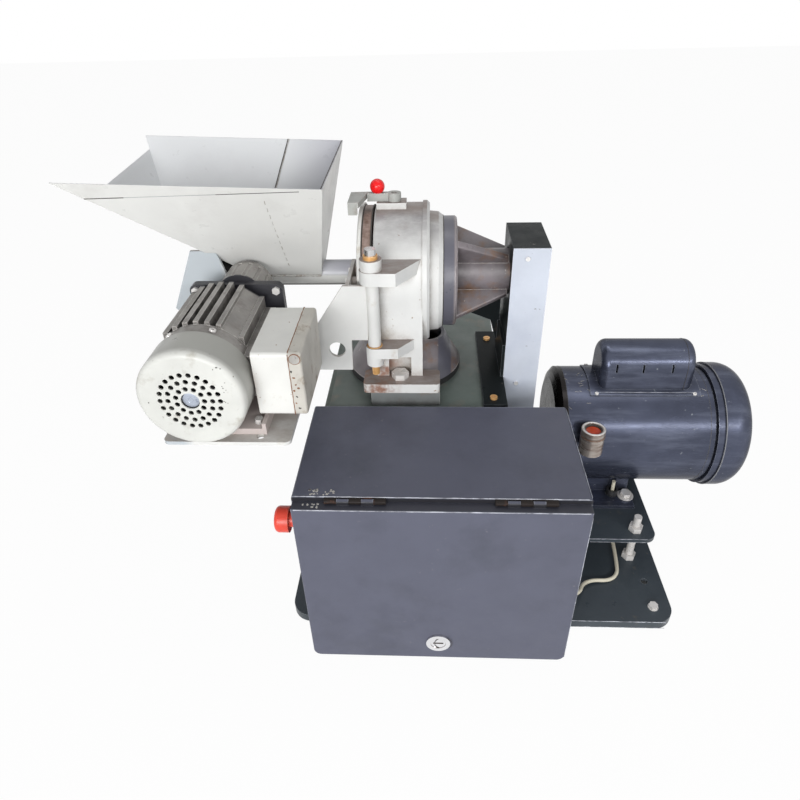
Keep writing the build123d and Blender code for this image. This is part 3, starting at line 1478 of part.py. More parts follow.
def make_gear_motor_body():
    body = rod_y(gear_x, cowl_back - sunk, body_back, gear_z, core_r)
    body += rod_y(gear_x, cowl_back, shield_back, gear_z, shield_r)
    fin_front, fin_end = shield_back - sunk, body_back - fin_end_gap
    half = fin_thickness / 2
    for offset in top_fin_offsets:
        reach = sqrt(fin_r ** 2 - offset ** 2)
        body += block(gear_x + offset - half, gear_x + offset + half, fin_front, fin_end, gear_z, gear_z + reach)
    for offset in side_fin_offsets:
        reach = sqrt(fin_r ** 2 - offset ** 2)
        body += block(gear_x - reach, gear_x, fin_front, fin_end, gear_z + offset - half, gear_z + offset + half)
        if gear_z + offset + half < gear_z + pad_low:
            body += block(gear_x, gear_x + reach, fin_front, fin_end, gear_z + offset - half,
                          gear_z + offset + half)
    saddle = [(gear_x + along, gear_z + rise) for along, rise in saddle_points]
    body += plate_y(saddle, fin_front, fin_end)
    body += block(gear_x, pad_right, cowl_back + cut, body_back - pad_back_inset, gear_z + pad_low, gear_z + pad_high)
    foot_top = shelf_top + gear_foot_thickness
    body += block(gear_foot_left, gear_foot_right, gear_foot_front, gear_foot_back, shelf_top, foot_top)
    body += block(gear_foot_right - gear_foot_lip, gear_foot_right, gear_foot_front, gear_foot_back,
                  foot_top - sunk, foot_top + gear_foot_lip_height)
    body -= rod_y(gear_x, cowl_front, cowl_back, gear_z, cowl_r + seat_gap)
    body += rod_y(gear_x, cowl_back - body_spigot, cowl_back + sunk, gear_z, core_r)
    body += block(gear_x - pillar_half, gear_x + pillar_half, gear_foot_front + pillar_inset, gear_foot_back, shelf_top, gear_z)
    for x, y in shelf_points(shelf_bolt_offsets):
        body -= rod_z(x, y, shelf_top - cut, foot_top + cut, screw_r + bolt_gap)
    return body - rod_y(gear_x, cowl_back - fan_socket / 3, cowl_back + fan_socket, gear_z, fan_shaft_r + running)


cowl_wall = 1.5
cowl_round = 6.0
cowl_seat_depth = 6.0
cowl_hole_r = 9.0
vent_rings = ((13.7, 11), (21.5, 16), (29.0, 22))
vent_r = 2.6
small_fan_front, small_fan_back = 16.0, 12.0
small_fan_r, small_hub_r, small_blade = 40.0, 10.0, 2.4
nose_r, nose_gap, nose_round = 7.5, 2.5, 2.0


def make_gear_motor_cowl():
    cowl = rod_y(gear_x, cowl_front, cowl_back, gear_z, cowl_r)
    cowl = fillet(cowl.edges().group_by(Axis.Y)[0], cowl_round)
    inside = rod_y(gear_x, cowl_front + cowl_wall, cowl_back + cut, gear_z, cowl_r - cowl_wall)
    inside = fillet(inside.edges().group_by(Axis.Y)[0], cowl_round - cowl_wall)
    cowl -= inside
    seat = rod_y(gear_x, cowl_back - cowl_seat_depth, cowl_back, gear_z, cowl_r - cowl_wall / 2)
    cowl += seat - rod_y(gear_x, cowl_back - cowl_seat_depth - cut, cowl_back + cut, gear_z, core_r)
    cowl -= rod_y(gear_x, cowl_front - cut, cowl_front + 2 * cowl_wall, gear_z, cowl_hole_r)
    for ring_r, count in vent_rings:
        for index in range(count):
            angle = 2 * pi * index / count
            cowl -= rod_y(gear_x + ring_r * cos(angle), cowl_front - cut, cowl_front + 2 * cowl_wall,
                          gear_z + ring_r * sin(angle), vent_r)
    return cowl


def make_gear_motor_fan():
    front, back = cowl_front + small_fan_front, cowl_back - small_fan_back
    fan = rod_y(gear_x, front, back, gear_z, small_hub_r)
    fan += rod_y(gear_x, back - small_blade, back, gear_z, small_fan_r)
    for index in range(blade_count):
        blade = block(gear_x - small_blade / 2, gear_x + small_blade / 2, front, back,
                      gear_z + small_hub_r - sunk, gear_z + small_fan_r)
        fan += Pos(gear_x, 0, gear_z) * Rot(0, index * 360 / blade_count, 0) * Pos(-gear_x, 0, -gear_z) * blade
    nose = rod_y(gear_x, cowl_front + nose_gap, front + sunk, gear_z, nose_r)
    fan += fillet(nose.edges().group_by(Axis.Y)[0], nose_round)
    return fan + rod_y(gear_x, back - sunk, cowl_back + fan_socket - shaft_entry, gear_z, fan_shaft_r)


terminal_box_width, terminal_box_length, terminal_box_height = 36.0, 100.0, 71.5
terminal_lid_width, terminal_box_inset, terminal_box_rise = 13.0, 21.0, 18.5
box_left = pad_right
box_right = box_left + terminal_box_width
lid_right = box_right + terminal_lid_width
box_front = shelf_front + terminal_box_inset
box_back = box_front + terminal_box_length
box_low = shelf_top + terminal_box_rise
box_high = box_low + terminal_box_height
box_sheet = 3.0
box_round = 4.0


def make_terminal_box():
    body = block(box_left, box_right, box_front, box_back, box_low, box_high)
    body = fillet(body.edges().filter_by(Axis.X), box_round)
    return body - block(box_left + box_sheet, box_right + cut, box_front + box_sheet, box_back - box_sheet,
                        box_low + box_sheet, box_high - box_sheet)


def make_terminal_lid():
    lid = block(box_right, lid_right, box_front, box_back, box_low, box_high)
    lid = fillet(lid.edges().filter_by(Axis.X), box_round)
    lid = fillet(lid.faces().sort_by(Axis.X)[-1].outer_wire().edges(), box_sheet)
    return lid - block(box_right - cut, lid_right - box_sheet, box_front + box_sheet, box_back - box_sheet,
                       box_low + box_sheet, box_high - box_sheet)


# ---------- fasteners ----------
motor_washer_r, motor_washer = 11.0, 1.6
foot_washer_r, foot_washer = 6.5, 1.0
motor_bolt_tail = 6.0
m5_head_af, m5_head = 8.0, 3.5
m5_washer_r, m5_washer = 5.0, 1.0
door_bolt_length, shelf_bolt_length = 14.0, 12.0
bracket_screw_length = 3.5


def washered_bolt(x, y, z, washer_r_out, washer_height, r, length, across_flats, head):
    seat = z + washer_height
    bolt = hex_bolt((x, y, seat), (0, 0, 1), r, length, across_flats, head)
    return bolt + rod_z(x, y, z, seat, washer_r_out)


def make_hex_bolts():
    bolts = []
    length = base_thickness + foot_bolt_depth + foot_washer
    for x in foot_xs:
        for y in foot_ys:
            bolts.append(washered_bolt(x, y, base_top, foot_washer_r, foot_washer, foot_bolt_r, length,
                                       foot_bolt_af, foot_bolt_head))
    foot_top = motor_plate_top + motor_foot_thickness
    length = motor_foot_thickness + motor_plate_thickness + motor_bolt_tail
    for x, y in motor_bolt_points():
        bolts.append(washered_bolt(x, y, foot_top, motor_washer_r, motor_washer, bolt_r, length,
                                   bolt_head_af, bolt_head_height))
    for x, y in mill_bolt_points():
        length = foot_flange_top - table_top_z + table_thickness
        bolts.append(hex_bolt((x, y, foot_flange_top), (0, 0, 1), mount_bolt_r, length,
                              mount_bolt_af, mount_bolt_head))
    return group(bolts)


def make_pan_screws():
    front = guard_ys()[0] - cover_thickness
    screws = [pan_screw((cover_screw_x, front, z), (0, -1, 0), small_screw_r, cover_screw_length) for z in tab_zs]
    bracket_top = table_top_z + bracket_thickness
    for x, y in bracket_screws():
        screws.append(pan_screw((x, y, bracket_top), (0, 0, 1), screw_r, bracket_screw_length))
    return group(screws)


def make_feeder_bolts():
    bolts = []
    for y, z in door_bolt_points():
        bolts.append(hex_bolt((flange_left, y, z), (-1, 0, 0), screw_r, door_bolt_length, m5_head_af, m5_head))
    foot_top = shelf_top + gear_foot_thickness
    for x, y in shelf_points(shelf_bolt_offsets):
        bolts.append(washered_bolt(x, y, foot_top, m5_washer_r, m5_washer, screw_r, shelf_bolt_length,
                                   m5_head_af, m5_head))
    for x, z in head_bolt_points():
        bolts.append(hex_bolt((x, body_back, z), (0, -1, 0), screw_r, head_flange_back - body_back,
                              m5_head_af, m5_head))
    return group(bolts)


nodes = {
    "base_plate": make_base_plate, "rubber_feet": make_rubber_feet, "stand_frame": make_stand_frame,
    "table_top": make_table_top, "box_shell": make_box_shell, "mounting_panel": make_mounting_panel,
    "control_gear": make_control_gear, "door_hinges": make_door_hinges, "box_door": make_box_door,
    "door_seal": make_door_seal, "cam_lock": make_cam_lock, "estop_body": make_estop_body,
    "estop_button": make_estop_button, "cable_glands": make_cable_glands, "motor_lead": make_motor_lead,
    "motor_plate": make_motor_plate, "jack_studs": make_jack_studs, "jack_nuts": make_jack_nuts,
    "motor_shell": make_motor_shell, "end_bells": make_end_bells, "fan_cover": make_fan_cover,
    "bearings": make_bearings, "capacitor_cover": make_capacitor_cover, "reset_collar": make_reset_collar,
    "reset_button": make_reset_button, "motor_rotor": make_motor_rotor, "motor_fan": make_motor_fan,
    "motor_pulley": make_motor_pulley, "drive_belt": make_drive_belt, "belt_guard": make_belt_guard,
    "guard_cover": make_guard_cover, "guard_bracket": make_guard_bracket, "mill_housing": make_mill_housing,
    "pedestals": make_pedestals, "outlet_hood": make_outlet_hood, "hood_rim": make_hood_rim,
    "bearing_housing": make_bearing_housing, "spindle_shaft": make_spindle_shaft,
    "rotating_disc": make_rotating_disc, "spindle_pulley": make_spindle_pulley, "latch_arm": make_latch_arm,
    "ball_knob": make_ball_knob, "hinge_pin": make_hinge_pin, "hinge_bushes": make_hinge_bushes,
    "mill_door": make_mill_door, "door_ring": make_door_ring, "fixed_disc": make_fixed_disc,
    "feeder_bracket": make_feeder_bracket, "hopper": make_hopper, "auger": make_auger,
    "bevel_housing": make_bevel_housing, "gear_head": make_gear_head, "gear_motor_body": make_gear_motor_body,
    "gear_motor_cowl": make_gear_motor_cowl, "gear_motor_fan": make_gear_motor_fan,
    "terminal_box": make_terminal_box, "terminal_lid": make_terminal_lid, "hex_bolts": make_hex_bolts,
    "pan_screws": make_pan_screws, "feeder_bolts": make_feeder_bolts,
}

os.makedirs("parts", exist_ok=True)
for name, make in nodes.items():
    shape = Pos(-origin_x, -origin_y, -origin_z) * make()
    solids = shape.solids()
    print(name, len(solids), "solids", round(shape.volume), "mm3")
    export_step(shape, f"parts/{name}.step")
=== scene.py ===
import json
import math
import random

import bmesh
import bpy
from mathutils import Matrix, Vector


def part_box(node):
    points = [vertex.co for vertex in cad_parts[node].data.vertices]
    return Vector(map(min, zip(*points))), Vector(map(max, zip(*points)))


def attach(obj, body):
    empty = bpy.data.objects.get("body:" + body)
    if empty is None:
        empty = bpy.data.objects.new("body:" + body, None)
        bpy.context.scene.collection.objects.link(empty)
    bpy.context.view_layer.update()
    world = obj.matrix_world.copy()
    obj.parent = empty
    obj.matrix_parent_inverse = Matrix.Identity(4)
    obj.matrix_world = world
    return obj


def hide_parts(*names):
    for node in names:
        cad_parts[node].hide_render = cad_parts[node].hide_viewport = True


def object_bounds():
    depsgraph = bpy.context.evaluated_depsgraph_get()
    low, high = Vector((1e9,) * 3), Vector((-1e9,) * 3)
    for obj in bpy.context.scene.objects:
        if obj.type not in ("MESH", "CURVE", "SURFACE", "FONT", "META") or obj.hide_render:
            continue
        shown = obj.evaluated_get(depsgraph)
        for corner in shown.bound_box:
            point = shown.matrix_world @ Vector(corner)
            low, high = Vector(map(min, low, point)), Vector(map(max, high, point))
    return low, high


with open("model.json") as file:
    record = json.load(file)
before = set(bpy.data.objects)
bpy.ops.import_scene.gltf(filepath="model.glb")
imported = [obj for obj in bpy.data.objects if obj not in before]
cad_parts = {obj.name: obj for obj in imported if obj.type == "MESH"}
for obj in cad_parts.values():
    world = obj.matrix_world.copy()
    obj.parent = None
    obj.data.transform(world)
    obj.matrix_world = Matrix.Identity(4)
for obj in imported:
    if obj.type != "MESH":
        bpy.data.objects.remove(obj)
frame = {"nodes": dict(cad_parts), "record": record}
cad_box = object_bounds()
random.seed(7)

# Places are typed in the model's own millimetres. This is where the frame's origin lies in them.
MODEL_ORIGIN = (159.0, 211.85, 12.0)

# ---------- the motor's lead ----------
CABLE_DIAMETER = 0.005
CABLE_ROUTE = [(284.0, 62.0, 52.0), (328.0, 62.0, 52.0), (344.0, 103.0, 38.0), (391.0, 104.5, 35.0),
               (398.0, 151.0, 35.0), (398.5, 192.0, 42.0), (398.0, 215.0, 75.0), (398.0, 215.0, 113.0)]

# ---------- studio light ----------
AMBIENT = 0.22
FLOOR_GLOW = 0.96
FLOOR_HALF = 6.0
FLOOR_DROP = 0.0005

# ---------- camera of the photograph ----------
IMAGE_WIDTH = 800
FOCAL_PIXELS = 627.578
SENSOR_MM = 36.0
PITCH = math.radians(34.865)
YAW = math.radians(-3.4225)
ROLL = math.radians(-1.7041)
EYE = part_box("base_plate")[0] + Vector((0.178067, -0.498557, 0.698487))


def add_camera():
    forward = Vector((math.sin(YAW) * math.cos(PITCH), math.cos(YAW) * math.cos(PITCH), -math.sin(PITCH)))
    level_right = Vector((math.cos(YAW), -math.sin(YAW), 0))
    level_up = level_right.cross(forward)
    right = math.cos(ROLL) * level_right + math.sin(ROLL) * level_up
    up = math.cos(ROLL) * level_up - math.sin(ROLL) * level_right
    data = bpy.data.cameras.new("camera")
    data.sensor_width = SENSOR_MM
    data.lens = FOCAL_PIXELS * SENSOR_MM / IMAGE_WIDTH
    camera = bpy.data.objects.new("camera", data)
    rotation = Matrix((right, up, -forward)).transposed()
    camera.matrix_world = Matrix.Translation(EYE) @ rotation.to_4x4()
    bpy.context.collection.objects.link(camera)
    bpy.context.scene.camera = camera


# ---------- materials ----------
def new_material(name):
    material = bpy.data.materials.new(name)
    material.use_nodes = True
    tree = material.node_tree
    return material, tree, tree.nodes["Principled BSDF"]


def noise(tree, scale, detail=4.0, roughness=0.55, stretch=(1, 1, 1), offset=(0, 0, 0)):
    coords = tree.nodes.new("ShaderNodeTexCoord")
    mapping = tree.nodes.new("ShaderNodeMapping")
    mapping.inputs["Scale"].default_value = stretch
    mapping.inputs["Location"].default_value = offset
    texture = tree.nodes.new("ShaderNodeTexNoise")
    texture.inputs["Scale"].default_value = scale
    texture.inputs["Detail"].default_value = detail
    texture.inputs["Roughness"].default_value = roughness
    tree.links.new(coords.outputs["Object"], mapping.inputs["Vector"])
    tree.links.new(mapping.outputs["Vector"], texture.inputs["Vector"])
    return texture.outputs["Fac"]


def ramp(tree, value, low, high, to_low=0.0, to_high=1.0):
    node = tree.nodes.new("ShaderNodeMapRange")
    node.inputs["From Min"].default_value = low
    node.inputs["From Max"].default_value = high
    node.inputs["To Min"].default_value = to_low
    node.inputs["To Max"].default_value = to_high
    tree.links.new(value, node.inputs["Value"])
    return node.outputs["Result"]


def mix(tree, factor, first, second):
    node = tree.nodes.new("ShaderNodeMix")
    node.data_type = "RGBA"
    tree.links.new(factor, node.inputs["Factor"])
    for value, socket in ((first, node.inputs["A"]), (second, node.inputs["B"])):
        if isinstance(value, bpy.types.NodeSocket):
            tree.links.new(value, socket)
        else:
            socket.default_value = (*value, 1.0)
    return node.outputs["Result"]


def math_node(tree, operation, first, second):
    node = tree.nodes.new("ShaderNodeMath")
    node.operation = operation
    for value, socket in ((first, node.inputs[0]), (second, node.inputs[1])):
        if isinstance(value, bpy.types.NodeSocket):
            tree.links.new(value, socket)
        else:
            socket.default_value = value
    return node.outputs["Value"]


def edge_mask(tree, width):
    bevel = tree.nodes.new("ShaderNodeBevel")
    bevel.samples = 4
    bevel.inputs["Radius"].default_value = width
    geometry = tree.nodes.new("ShaderNodeNewGeometry")
    dot = tree.nodes.new("ShaderNodeVectorMath")
    dot.operation = "DOT_PRODUCT"
    tree.links.new(bevel.outputs["Normal"], dot.inputs[0])
    tree.links.new(geometry.outputs["Normal"], dot.inputs[1])
    return ramp(tree, dot.outputs["Value"], 0.98, 0.80)


# Corners and crevices found by ambient occlusion, where the finishes paint shade together with dirt.
def corner_mask(tree, distance):
    occlusion = tree.nodes.new("ShaderNodeAmbientOcclusion")
    occlusion.samples = 6
    occlusion.inputs["Distance"].default_value = distance
    return ramp(tree, occlusion.outputs["AO"], 0.85, 0.25)


def axis_value(tree, space, axis):
    coordinates = tree.nodes.new("ShaderNodeTexCoord")
    split = tree.nodes.new("ShaderNodeSeparateXYZ")
    tree.links.new(coordinates.outputs[space], split.inputs["Vector"])
    return split.outputs[axis]


def up_mask(tree):
    # Faces that look up, broken into patches: used to darken them, partly dust, partly painted shade from light
    # that comes from the front.
    facing = ramp(tree, axis_value(tree, "Normal", "Z"), 0.55, 0.95)
    broken = ramp(tree, noise(tree, 38.0, 8.0, 0.7, (0.5, 1, 1), (4, 4, 2)), 0.35, 0.60, 0.35, 1.0)
    return math_node(tree, "MULTIPLY", facing, broken)


def band_mask(tree, axis, low, high, soft=0.0008):
    above = ramp(tree, axis_value(tree, "Object", axis), low - soft, low + soft)
    below = ramp(tree, axis_value(tree, "Object", axis), high - soft, high + soft, 1.0, 0.0)
    return math_node(tree, "MULTIPLY", above, below)


def tint(material, mask, color):
    tree = material.node_tree
    socket = tree.nodes["Principled BSDF"].inputs["Base Color"]
    tree.links.new(mix(tree, mask(tree), socket.links[0].from_socket, color), socket)


def bump(tree, shader, height, strength, distance):
    node = tree.nodes.new("ShaderNodeBump")
    node.inputs["Strength"].default_value = strength
    node.inputs["Distance"].default_value = distance
    tree.links.new(height, node.inputs["Height"])
    tree.links.new(node.outputs["Normal"], shader.inputs["Normal"])


def shade(color, factor):
    return tuple(min(1.0, channel * factor) for channel in color)


def painted(name, color, roughness=0.4, mottle=0.08, texture=0.12, texture_scale=900.0, metallic=0.0,
            coat=0.0, dirt=None, dirt_range=(0.6, 0.75), dirt_scale=30.0, stretch=(1, 1, 1), grime_and_shade=None,
            grime_and_shade_reach=0.02, grime_and_shade_amount=0.8, edge=None, edge_width=0.0012, edge_amount=0.7, specks=None,
            specular=0.5, specular_tint=1.0):
    material, tree, shader = new_material(name)
    blotches = ramp(tree, noise(tree, 22.0, 5.0), 0.3, 0.7)
    base = mix(tree, blotches, shade(color, 1 - mottle), shade(color, 1 + mottle))
    if dirt:
        patches = ramp(tree, noise(tree, dirt_scale, 8.0, 0.65, stretch, (3, 1, 7)), *dirt_range)
        base = mix(tree, patches, base, dirt)
    # The grime colour goes into corners and crevices found by ambient occlusion: partly dirt in the hollows,
    # partly painted shade.
    if grime_and_shade:
        broken = ramp(tree, noise(tree, 45.0, 6.0, 0.7, (1, 1, 1), (2, 8, 3)), 0.35, 0.6, 0.25, grime_and_shade_amount)
        base = mix(tree, math_node(tree, "MULTIPLY", corner_mask(tree, grime_and_shade_reach), broken), base, grime_and_shade)
    if specks:
        spots = ramp(tree, noise(tree, 150.0, 5.0, 0.6, (1, 1, 1), (9, 2, 4)), 0.68, 0.72)
        base = mix(tree, spots, base, specks)
    # Lighter colour on edges found by the bevel normal: partly edge wear, partly painted highlight.
    if edge:
        wear_and_highlight = ramp(tree, noise(tree, 90.0, 6.0, 0.7, (1, 1, 1), (6, 1, 8)), 0.3, 0.6, 0.2, edge_amount)
        base = mix(tree, math_node(tree, "MULTIPLY", edge_mask(tree, edge_width), wear_and_highlight), base, edge)
    tree.links.new(base, shader.inputs["Base Color"])
    clouds = noise(tree, 60.0, 6.0, 0.6, stretch, (5, 5, 1))
    uneven = ramp(tree, clouds, 0.3, 0.7, roughness * 0.75, roughness * 1.3)
    tree.links.new(uneven, shader.inputs["Roughness"])
    shader.inputs["Metallic"].default_value = metallic
    shader.inputs["Specular IOR Level"].default_value = specular
    shader.inputs["Specular Tint"].default_value = (specular_tint, specular_tint, specular_tint, 1)
    shader.inputs["Coat Weight"].default_value = coat
    shader.inputs["Coat Roughness"].default_value = 0.15
    bump(tree, shader, noise(tree, texture_scale, 3.0), texture, 0.0004)
    return material


RUST = (0.20, 0.095, 0.035)
BROWN = (0.17, 0.115, 0.07)
# Near-black: soot in dirt patches, and painted shade where it is the grime colour in corners.
SOOT_AND_SHADE = (0.035, 0.032, 0.030)


def make_materials():
    return {
        "dark_plate": painted("dark_plate", (0.044, 0.055, 0.066), 0.36, dirt=(0.11, 0.10, 0.085),
                              dirt_range=(0.62, 0.80), edge=(0.30, 0.32, 0.34), specks=(0.10, 0.10, 0.09),
                              specular=0.3),
        "table_green": painted("table_green", (0.120, 0.150, 0.136), 0.45, dirt=(0.19, 0.17, 0.14),
                               dirt_range=(0.55, 0.75), grime_and_shade=SOOT_AND_SHADE, edge=(0.35, 0.36, 0.34)),
        "stand_paint": painted("stand_paint", (0.13, 0.16, 0.14), 0.5, dirt=SOOT_AND_SHADE, dirt_range=(0.62, 0.8),
                               edge=(0.3, 0.32, 0.3)),
        # The box's light edge colour paints highlights along its edges as well as wear.
        "box_paint": painted("box_paint", (0.094, 0.099, 0.136), 0.40, 0.05, 0.35, 1700,
                             dirt=(0.062, 0.066, 0.088), dirt_range=(0.5, 0.8), dirt_scale=9,
                             edge=(0.50, 0.52, 0.58), edge_width=0.0016, edge_amount=0.85,
                             specks=(0.13, 0.13, 0.16), specular=0.25),
        "motor_paint": painted("motor_paint", (0.062, 0.070, 0.104), 0.26, 0.22, 0.05, 700, metallic=0.55,
                               coat=0.12, specular=0.3, specular_tint=0.25, dirt=(0.135, 0.150, 0.205),
                               dirt_range=(0.50, 0.80), dirt_scale=55, stretch=(0.16, 1, 1),
                               grime_and_shade=(0.012, 0.012, 0.015), edge=(0.42, 0.45, 0.52),
                               specks=(0.30, 0.32, 0.35)),
        "guard_paint": painted("guard_paint", (0.013, 0.016, 0.017), 0.34, dirt=(0.085, 0.05, 0.03),
                               dirt_range=(0.62, 0.82), edge=(0.25, 0.27, 0.29), specks=(0.13, 0.12, 0.11),
                               specular=0.05),
        "hinge_dark": painted("hinge_dark", (0.020, 0.016, 0.015), 0.5, dirt=(0.20, 0.085, 0.05),
                              dirt_range=(0.56, 0.72), specular=0.1),
        # Thin light lines along edges: painted highlights.
        "painted_edge_highlight": painted("painted_edge_highlight", (0.50, 0.52, 0.58), 0.35, 0.25, dirt=(0.12, 0.125, 0.15),
                              dirt_range=(0.45, 0.65), dirt_scale=70),
        "scuff": painted("scuff", (0.40, 0.385, 0.36), 0.6, 0.25, dirt=(0.13, 0.13, 0.15), dirt_scale=160),
        "cover_paint": painted("cover_paint", (0.56, 0.60, 0.68), 0.40, 0.06, dirt=(0.44, 0.48, 0.58),
                               dirt_range=(0.5, 0.8), dirt_scale=9, grime_and_shade=(0.16, 0.15, 0.16),
                               edge=(0.85, 0.87, 0.9), specks=(0.30, 0.30, 0.33)),
        "mill_paint": painted("mill_paint", (0.66, 0.665, 0.655), 0.38, 0.07, 0.18, 420,
                              dirt=(0.42, 0.35, 0.27), dirt_range=(0.58, 0.74), dirt_scale=24, grime_and_shade=BROWN,
                              grime_and_shade_reach=0.022, grime_and_shade_amount=0.95, edge=(0.80, 0.80, 0.78),
                              specks=(0.26, 0.18, 0.11)),
        "pedestal_paint": painted("pedestal_paint", (0.155, 0.165, 0.165), 0.45, dirt=BROWN,
                                  dirt_range=(0.55, 0.75), grime_and_shade=SOOT_AND_SHADE, edge=(0.6, 0.6, 0.58)),
        "latch_grey": painted("latch_grey", (0.38, 0.39, 0.37), 0.42, 0.15, dirt=(0.20, 0.16, 0.13),
                              dirt_range=(0.52, 0.72), grime_and_shade=SOOT_AND_SHADE, edge=(0.62, 0.62, 0.58)),
        # The housing's black grime paints shade under the ribs and its bright edge colour paints highlights on
        # the rib edges, besides rust and wear.
        "purple_cast": painted("purple_cast", (0.175, 0.155, 0.165), 0.36, 0.3, 0.3, 500, dirt=RUST,
                               dirt_range=(0.52, 0.72), dirt_scale=30, grime_and_shade=(0.022, 0.016, 0.015),
                               grime_and_shade_reach=0.04, grime_and_shade_amount=1.0, edge=(0.66, 0.62, 0.60), edge_amount=1.0,
                               edge_width=0.0018, specks=(0.38, 0.33, 0.30)),
        "rusty": painted("rusty", (0.27, 0.20, 0.175), 0.5, 0.25, 0.4, dirt=(0.13, 0.075, 0.05),
                         dirt_range=(0.45, 0.65), dirt_scale=60, grime_and_shade=(0.03, 0.02, 0.015),
                         edge=(0.50, 0.42, 0.36)),
        "disc_iron": painted("disc_iron", (0.24, 0.235, 0.23), 0.42, dirt=SOOT_AND_SHADE, metallic=0.8),
        "feeder_paint": painted("feeder_paint", (0.68, 0.68, 0.655), 0.40, 0.06, dirt=(0.46, 0.40, 0.31),
                                dirt_range=(0.60, 0.78), dirt_scale=24, grime_and_shade=(0.22, 0.12, 0.065),
                                grime_and_shade_reach=0.012, grime_and_shade_amount=0.9, edge=(0.42, 0.34, 0.27),
                                edge_amount=0.45, specks=(0.30, 0.20, 0.13)),
        "hopper_paint": painted("hopper_paint", (0.72, 0.722, 0.70), 0.34, 0.035, 0.06,
                                dirt=(0.60, 0.59, 0.57), dirt_range=(0.52, 0.85), dirt_scale=12,
                                grime_and_shade=(0.42, 0.41, 0.40), grime_and_shade_reach=0.03, grime_and_shade_amount=0.35,
                                edge=(0.85, 0.85, 0.84), edge_amount=0.6),
        # On the fins the light edge colour paints highlights on the tips and the near-black grime paints shade
        # in the gaps.
        "fin_grey": painted("fin_grey", (0.30, 0.285, 0.27), 0.38, 0.25, 0.3, dirt=(0.17, 0.15, 0.14),
                            dirt_range=(0.48, 0.74), dirt_scale=60, grime_and_shade=(0.015, 0.012, 0.011),
                            grime_and_shade_reach=0.014, grime_and_shade_amount=1.0, edge=(0.66, 0.64, 0.61), edge_amount=1.0,
                            edge_width=0.0014, specks=(0.50, 0.47, 0.44)),
        "bevel_black": painted("bevel_black", (0.012, 0.011, 0.011), 0.5, dirt=(0.05, 0.045, 0.04),
                               specular=0.1),
        "bracket_paint": painted("bracket_paint", (0.66, 0.665, 0.65), 0.40, 0.06, dirt=(0.46, 0.41, 0.33),
                                 dirt_range=(0.60, 0.78), dirt_scale=24, grime_and_shade=(0.24, 0.17, 0.11),
                                 grime_and_shade_reach=0.012, edge=(0.48, 0.42, 0.36), edge_amount=0.45),
        "hub_blue": painted("hub_blue", (0.40, 0.44, 0.52), 0.28, 0.3, dirt=(0.20, 0.23, 0.30),
                            dirt_scale=120, metallic=0.4),
        "collar_brown": painted("collar_brown", (0.46, 0.41, 0.37), 0.30, 0.2, dirt=(0.15, 0.095, 0.07),
                                dirt_range=(0.42, 0.62), dirt_scale=70, stretch=(0.3, 0.3, 2.5),
                                metallic=0.55),
        "reset_red": painted("reset_red", (0.70, 0.075, 0.018), 0.16, 0.2, 0.05, dirt=(0.25, 0.015, 0.008),
                             dirt_scale=60, coat=0.8),
        "cowl_paint": painted("cowl_paint", (0.60, 0.605, 0.575), 0.36, 0.08, dirt=(0.36, 0.34, 0.29),
                              dirt_range=(0.56, 0.76), dirt_scale=36, grime_and_shade=(0.16, 0.14, 0.11),
                              grime_and_shade_reach=0.01, edge=(0.78, 0.78, 0.74), specks=(0.15, 0.12, 0.10)),
        "lid_paint": painted("lid_paint", (0.52, 0.50, 0.455), 0.46, 0.12, dirt=(0.24, 0.17, 0.11),
                             dirt_range=(0.54, 0.70), dirt_scale=60, edge=(0.66, 0.64, 0.60),
                             specks=(0.52, 0.50, 0.46)),
        "zinc": painted("zinc", (0.72, 0.70, 0.68), 0.30, dirt=(0.44, 0.40, 0.36), dirt_range=(0.56, 0.8),
                        metallic=0.25, grime_and_shade=(0.12, 0.10, 0.085), grime_and_shade_reach=0.006,
                        edge=(0.88, 0.88, 0.88)),
        "steel": painted("steel", (0.62, 0.62, 0.62), 0.26, metallic=1.0, dirt=(0.40, 0.37, 0.33),
                         stretch=(1, 1, 0.2)),
        "chrome": painted("chrome", (0.80, 0.80, 0.82), 0.12, metallic=1.0, texture=0.03,
                          grime_and_shade=(0.18, 0.10, 0.06), grime_and_shade_reach=0.008),
        "brass": painted("brass", (0.72, 0.40, 0.15), 0.34, dirt=(0.38, 0.18, 0.06), dirt_range=(0.5, 0.75),
                         metallic=0.45, edge=(0.9, 0.68, 0.4)),
        "rubber": painted("rubber", (0.015, 0.015, 0.016), 0.6),
        "belt": painted("belt", (0.02, 0.02, 0.02), 0.8, stretch=(6, 1, 1)),
        "red_plastic": painted("red_plastic", (0.80, 0.008, 0.010), 0.22, 0.04, 0.03, coat=0.15,
                               specular=0.3),
        "orange_plastic": painted("orange_plastic", (0.78, 0.060, 0.032), 0.34, 0.05, 0.05,
                                  edge=(0.9, 0.3, 0.2), dirt=(0.66, 0.07, 0.04), dirt_range=(0.5, 0.8)),
        "black_plastic": painted("black_plastic", (0.02, 0.02, 0.022), 0.45, dirt=(0.05, 0.05, 0.05)),
        "grey_plastic": painted("grey_plastic", (0.30, 0.31, 0.31), 0.5),
        "cream_cable": painted("cream_cable", (0.66, 0.62, 0.50), 0.45, dirt=(0.36, 0.31, 0.22)),
        "dark_line": painted("dark_line", (0.05, 0.045, 0.04), 0.7),
        "grey_line": painted("grey_line", (0.22, 0.225, 0.24), 0.6),
        "weld": painted("weld", (0.50, 0.49, 0.47), 0.45, 0.2, 0.9, 700, dirt=(0.24, 0.19, 0.14),
                        dirt_range=(0.45, 0.65), dirt_scale=110),
        "rust_line": painted("rust_line", (0.23, 0.105, 0.05), 0.7, 0.3, dirt=(0.10, 0.045, 0.02),
                             dirt_scale=120),
    }


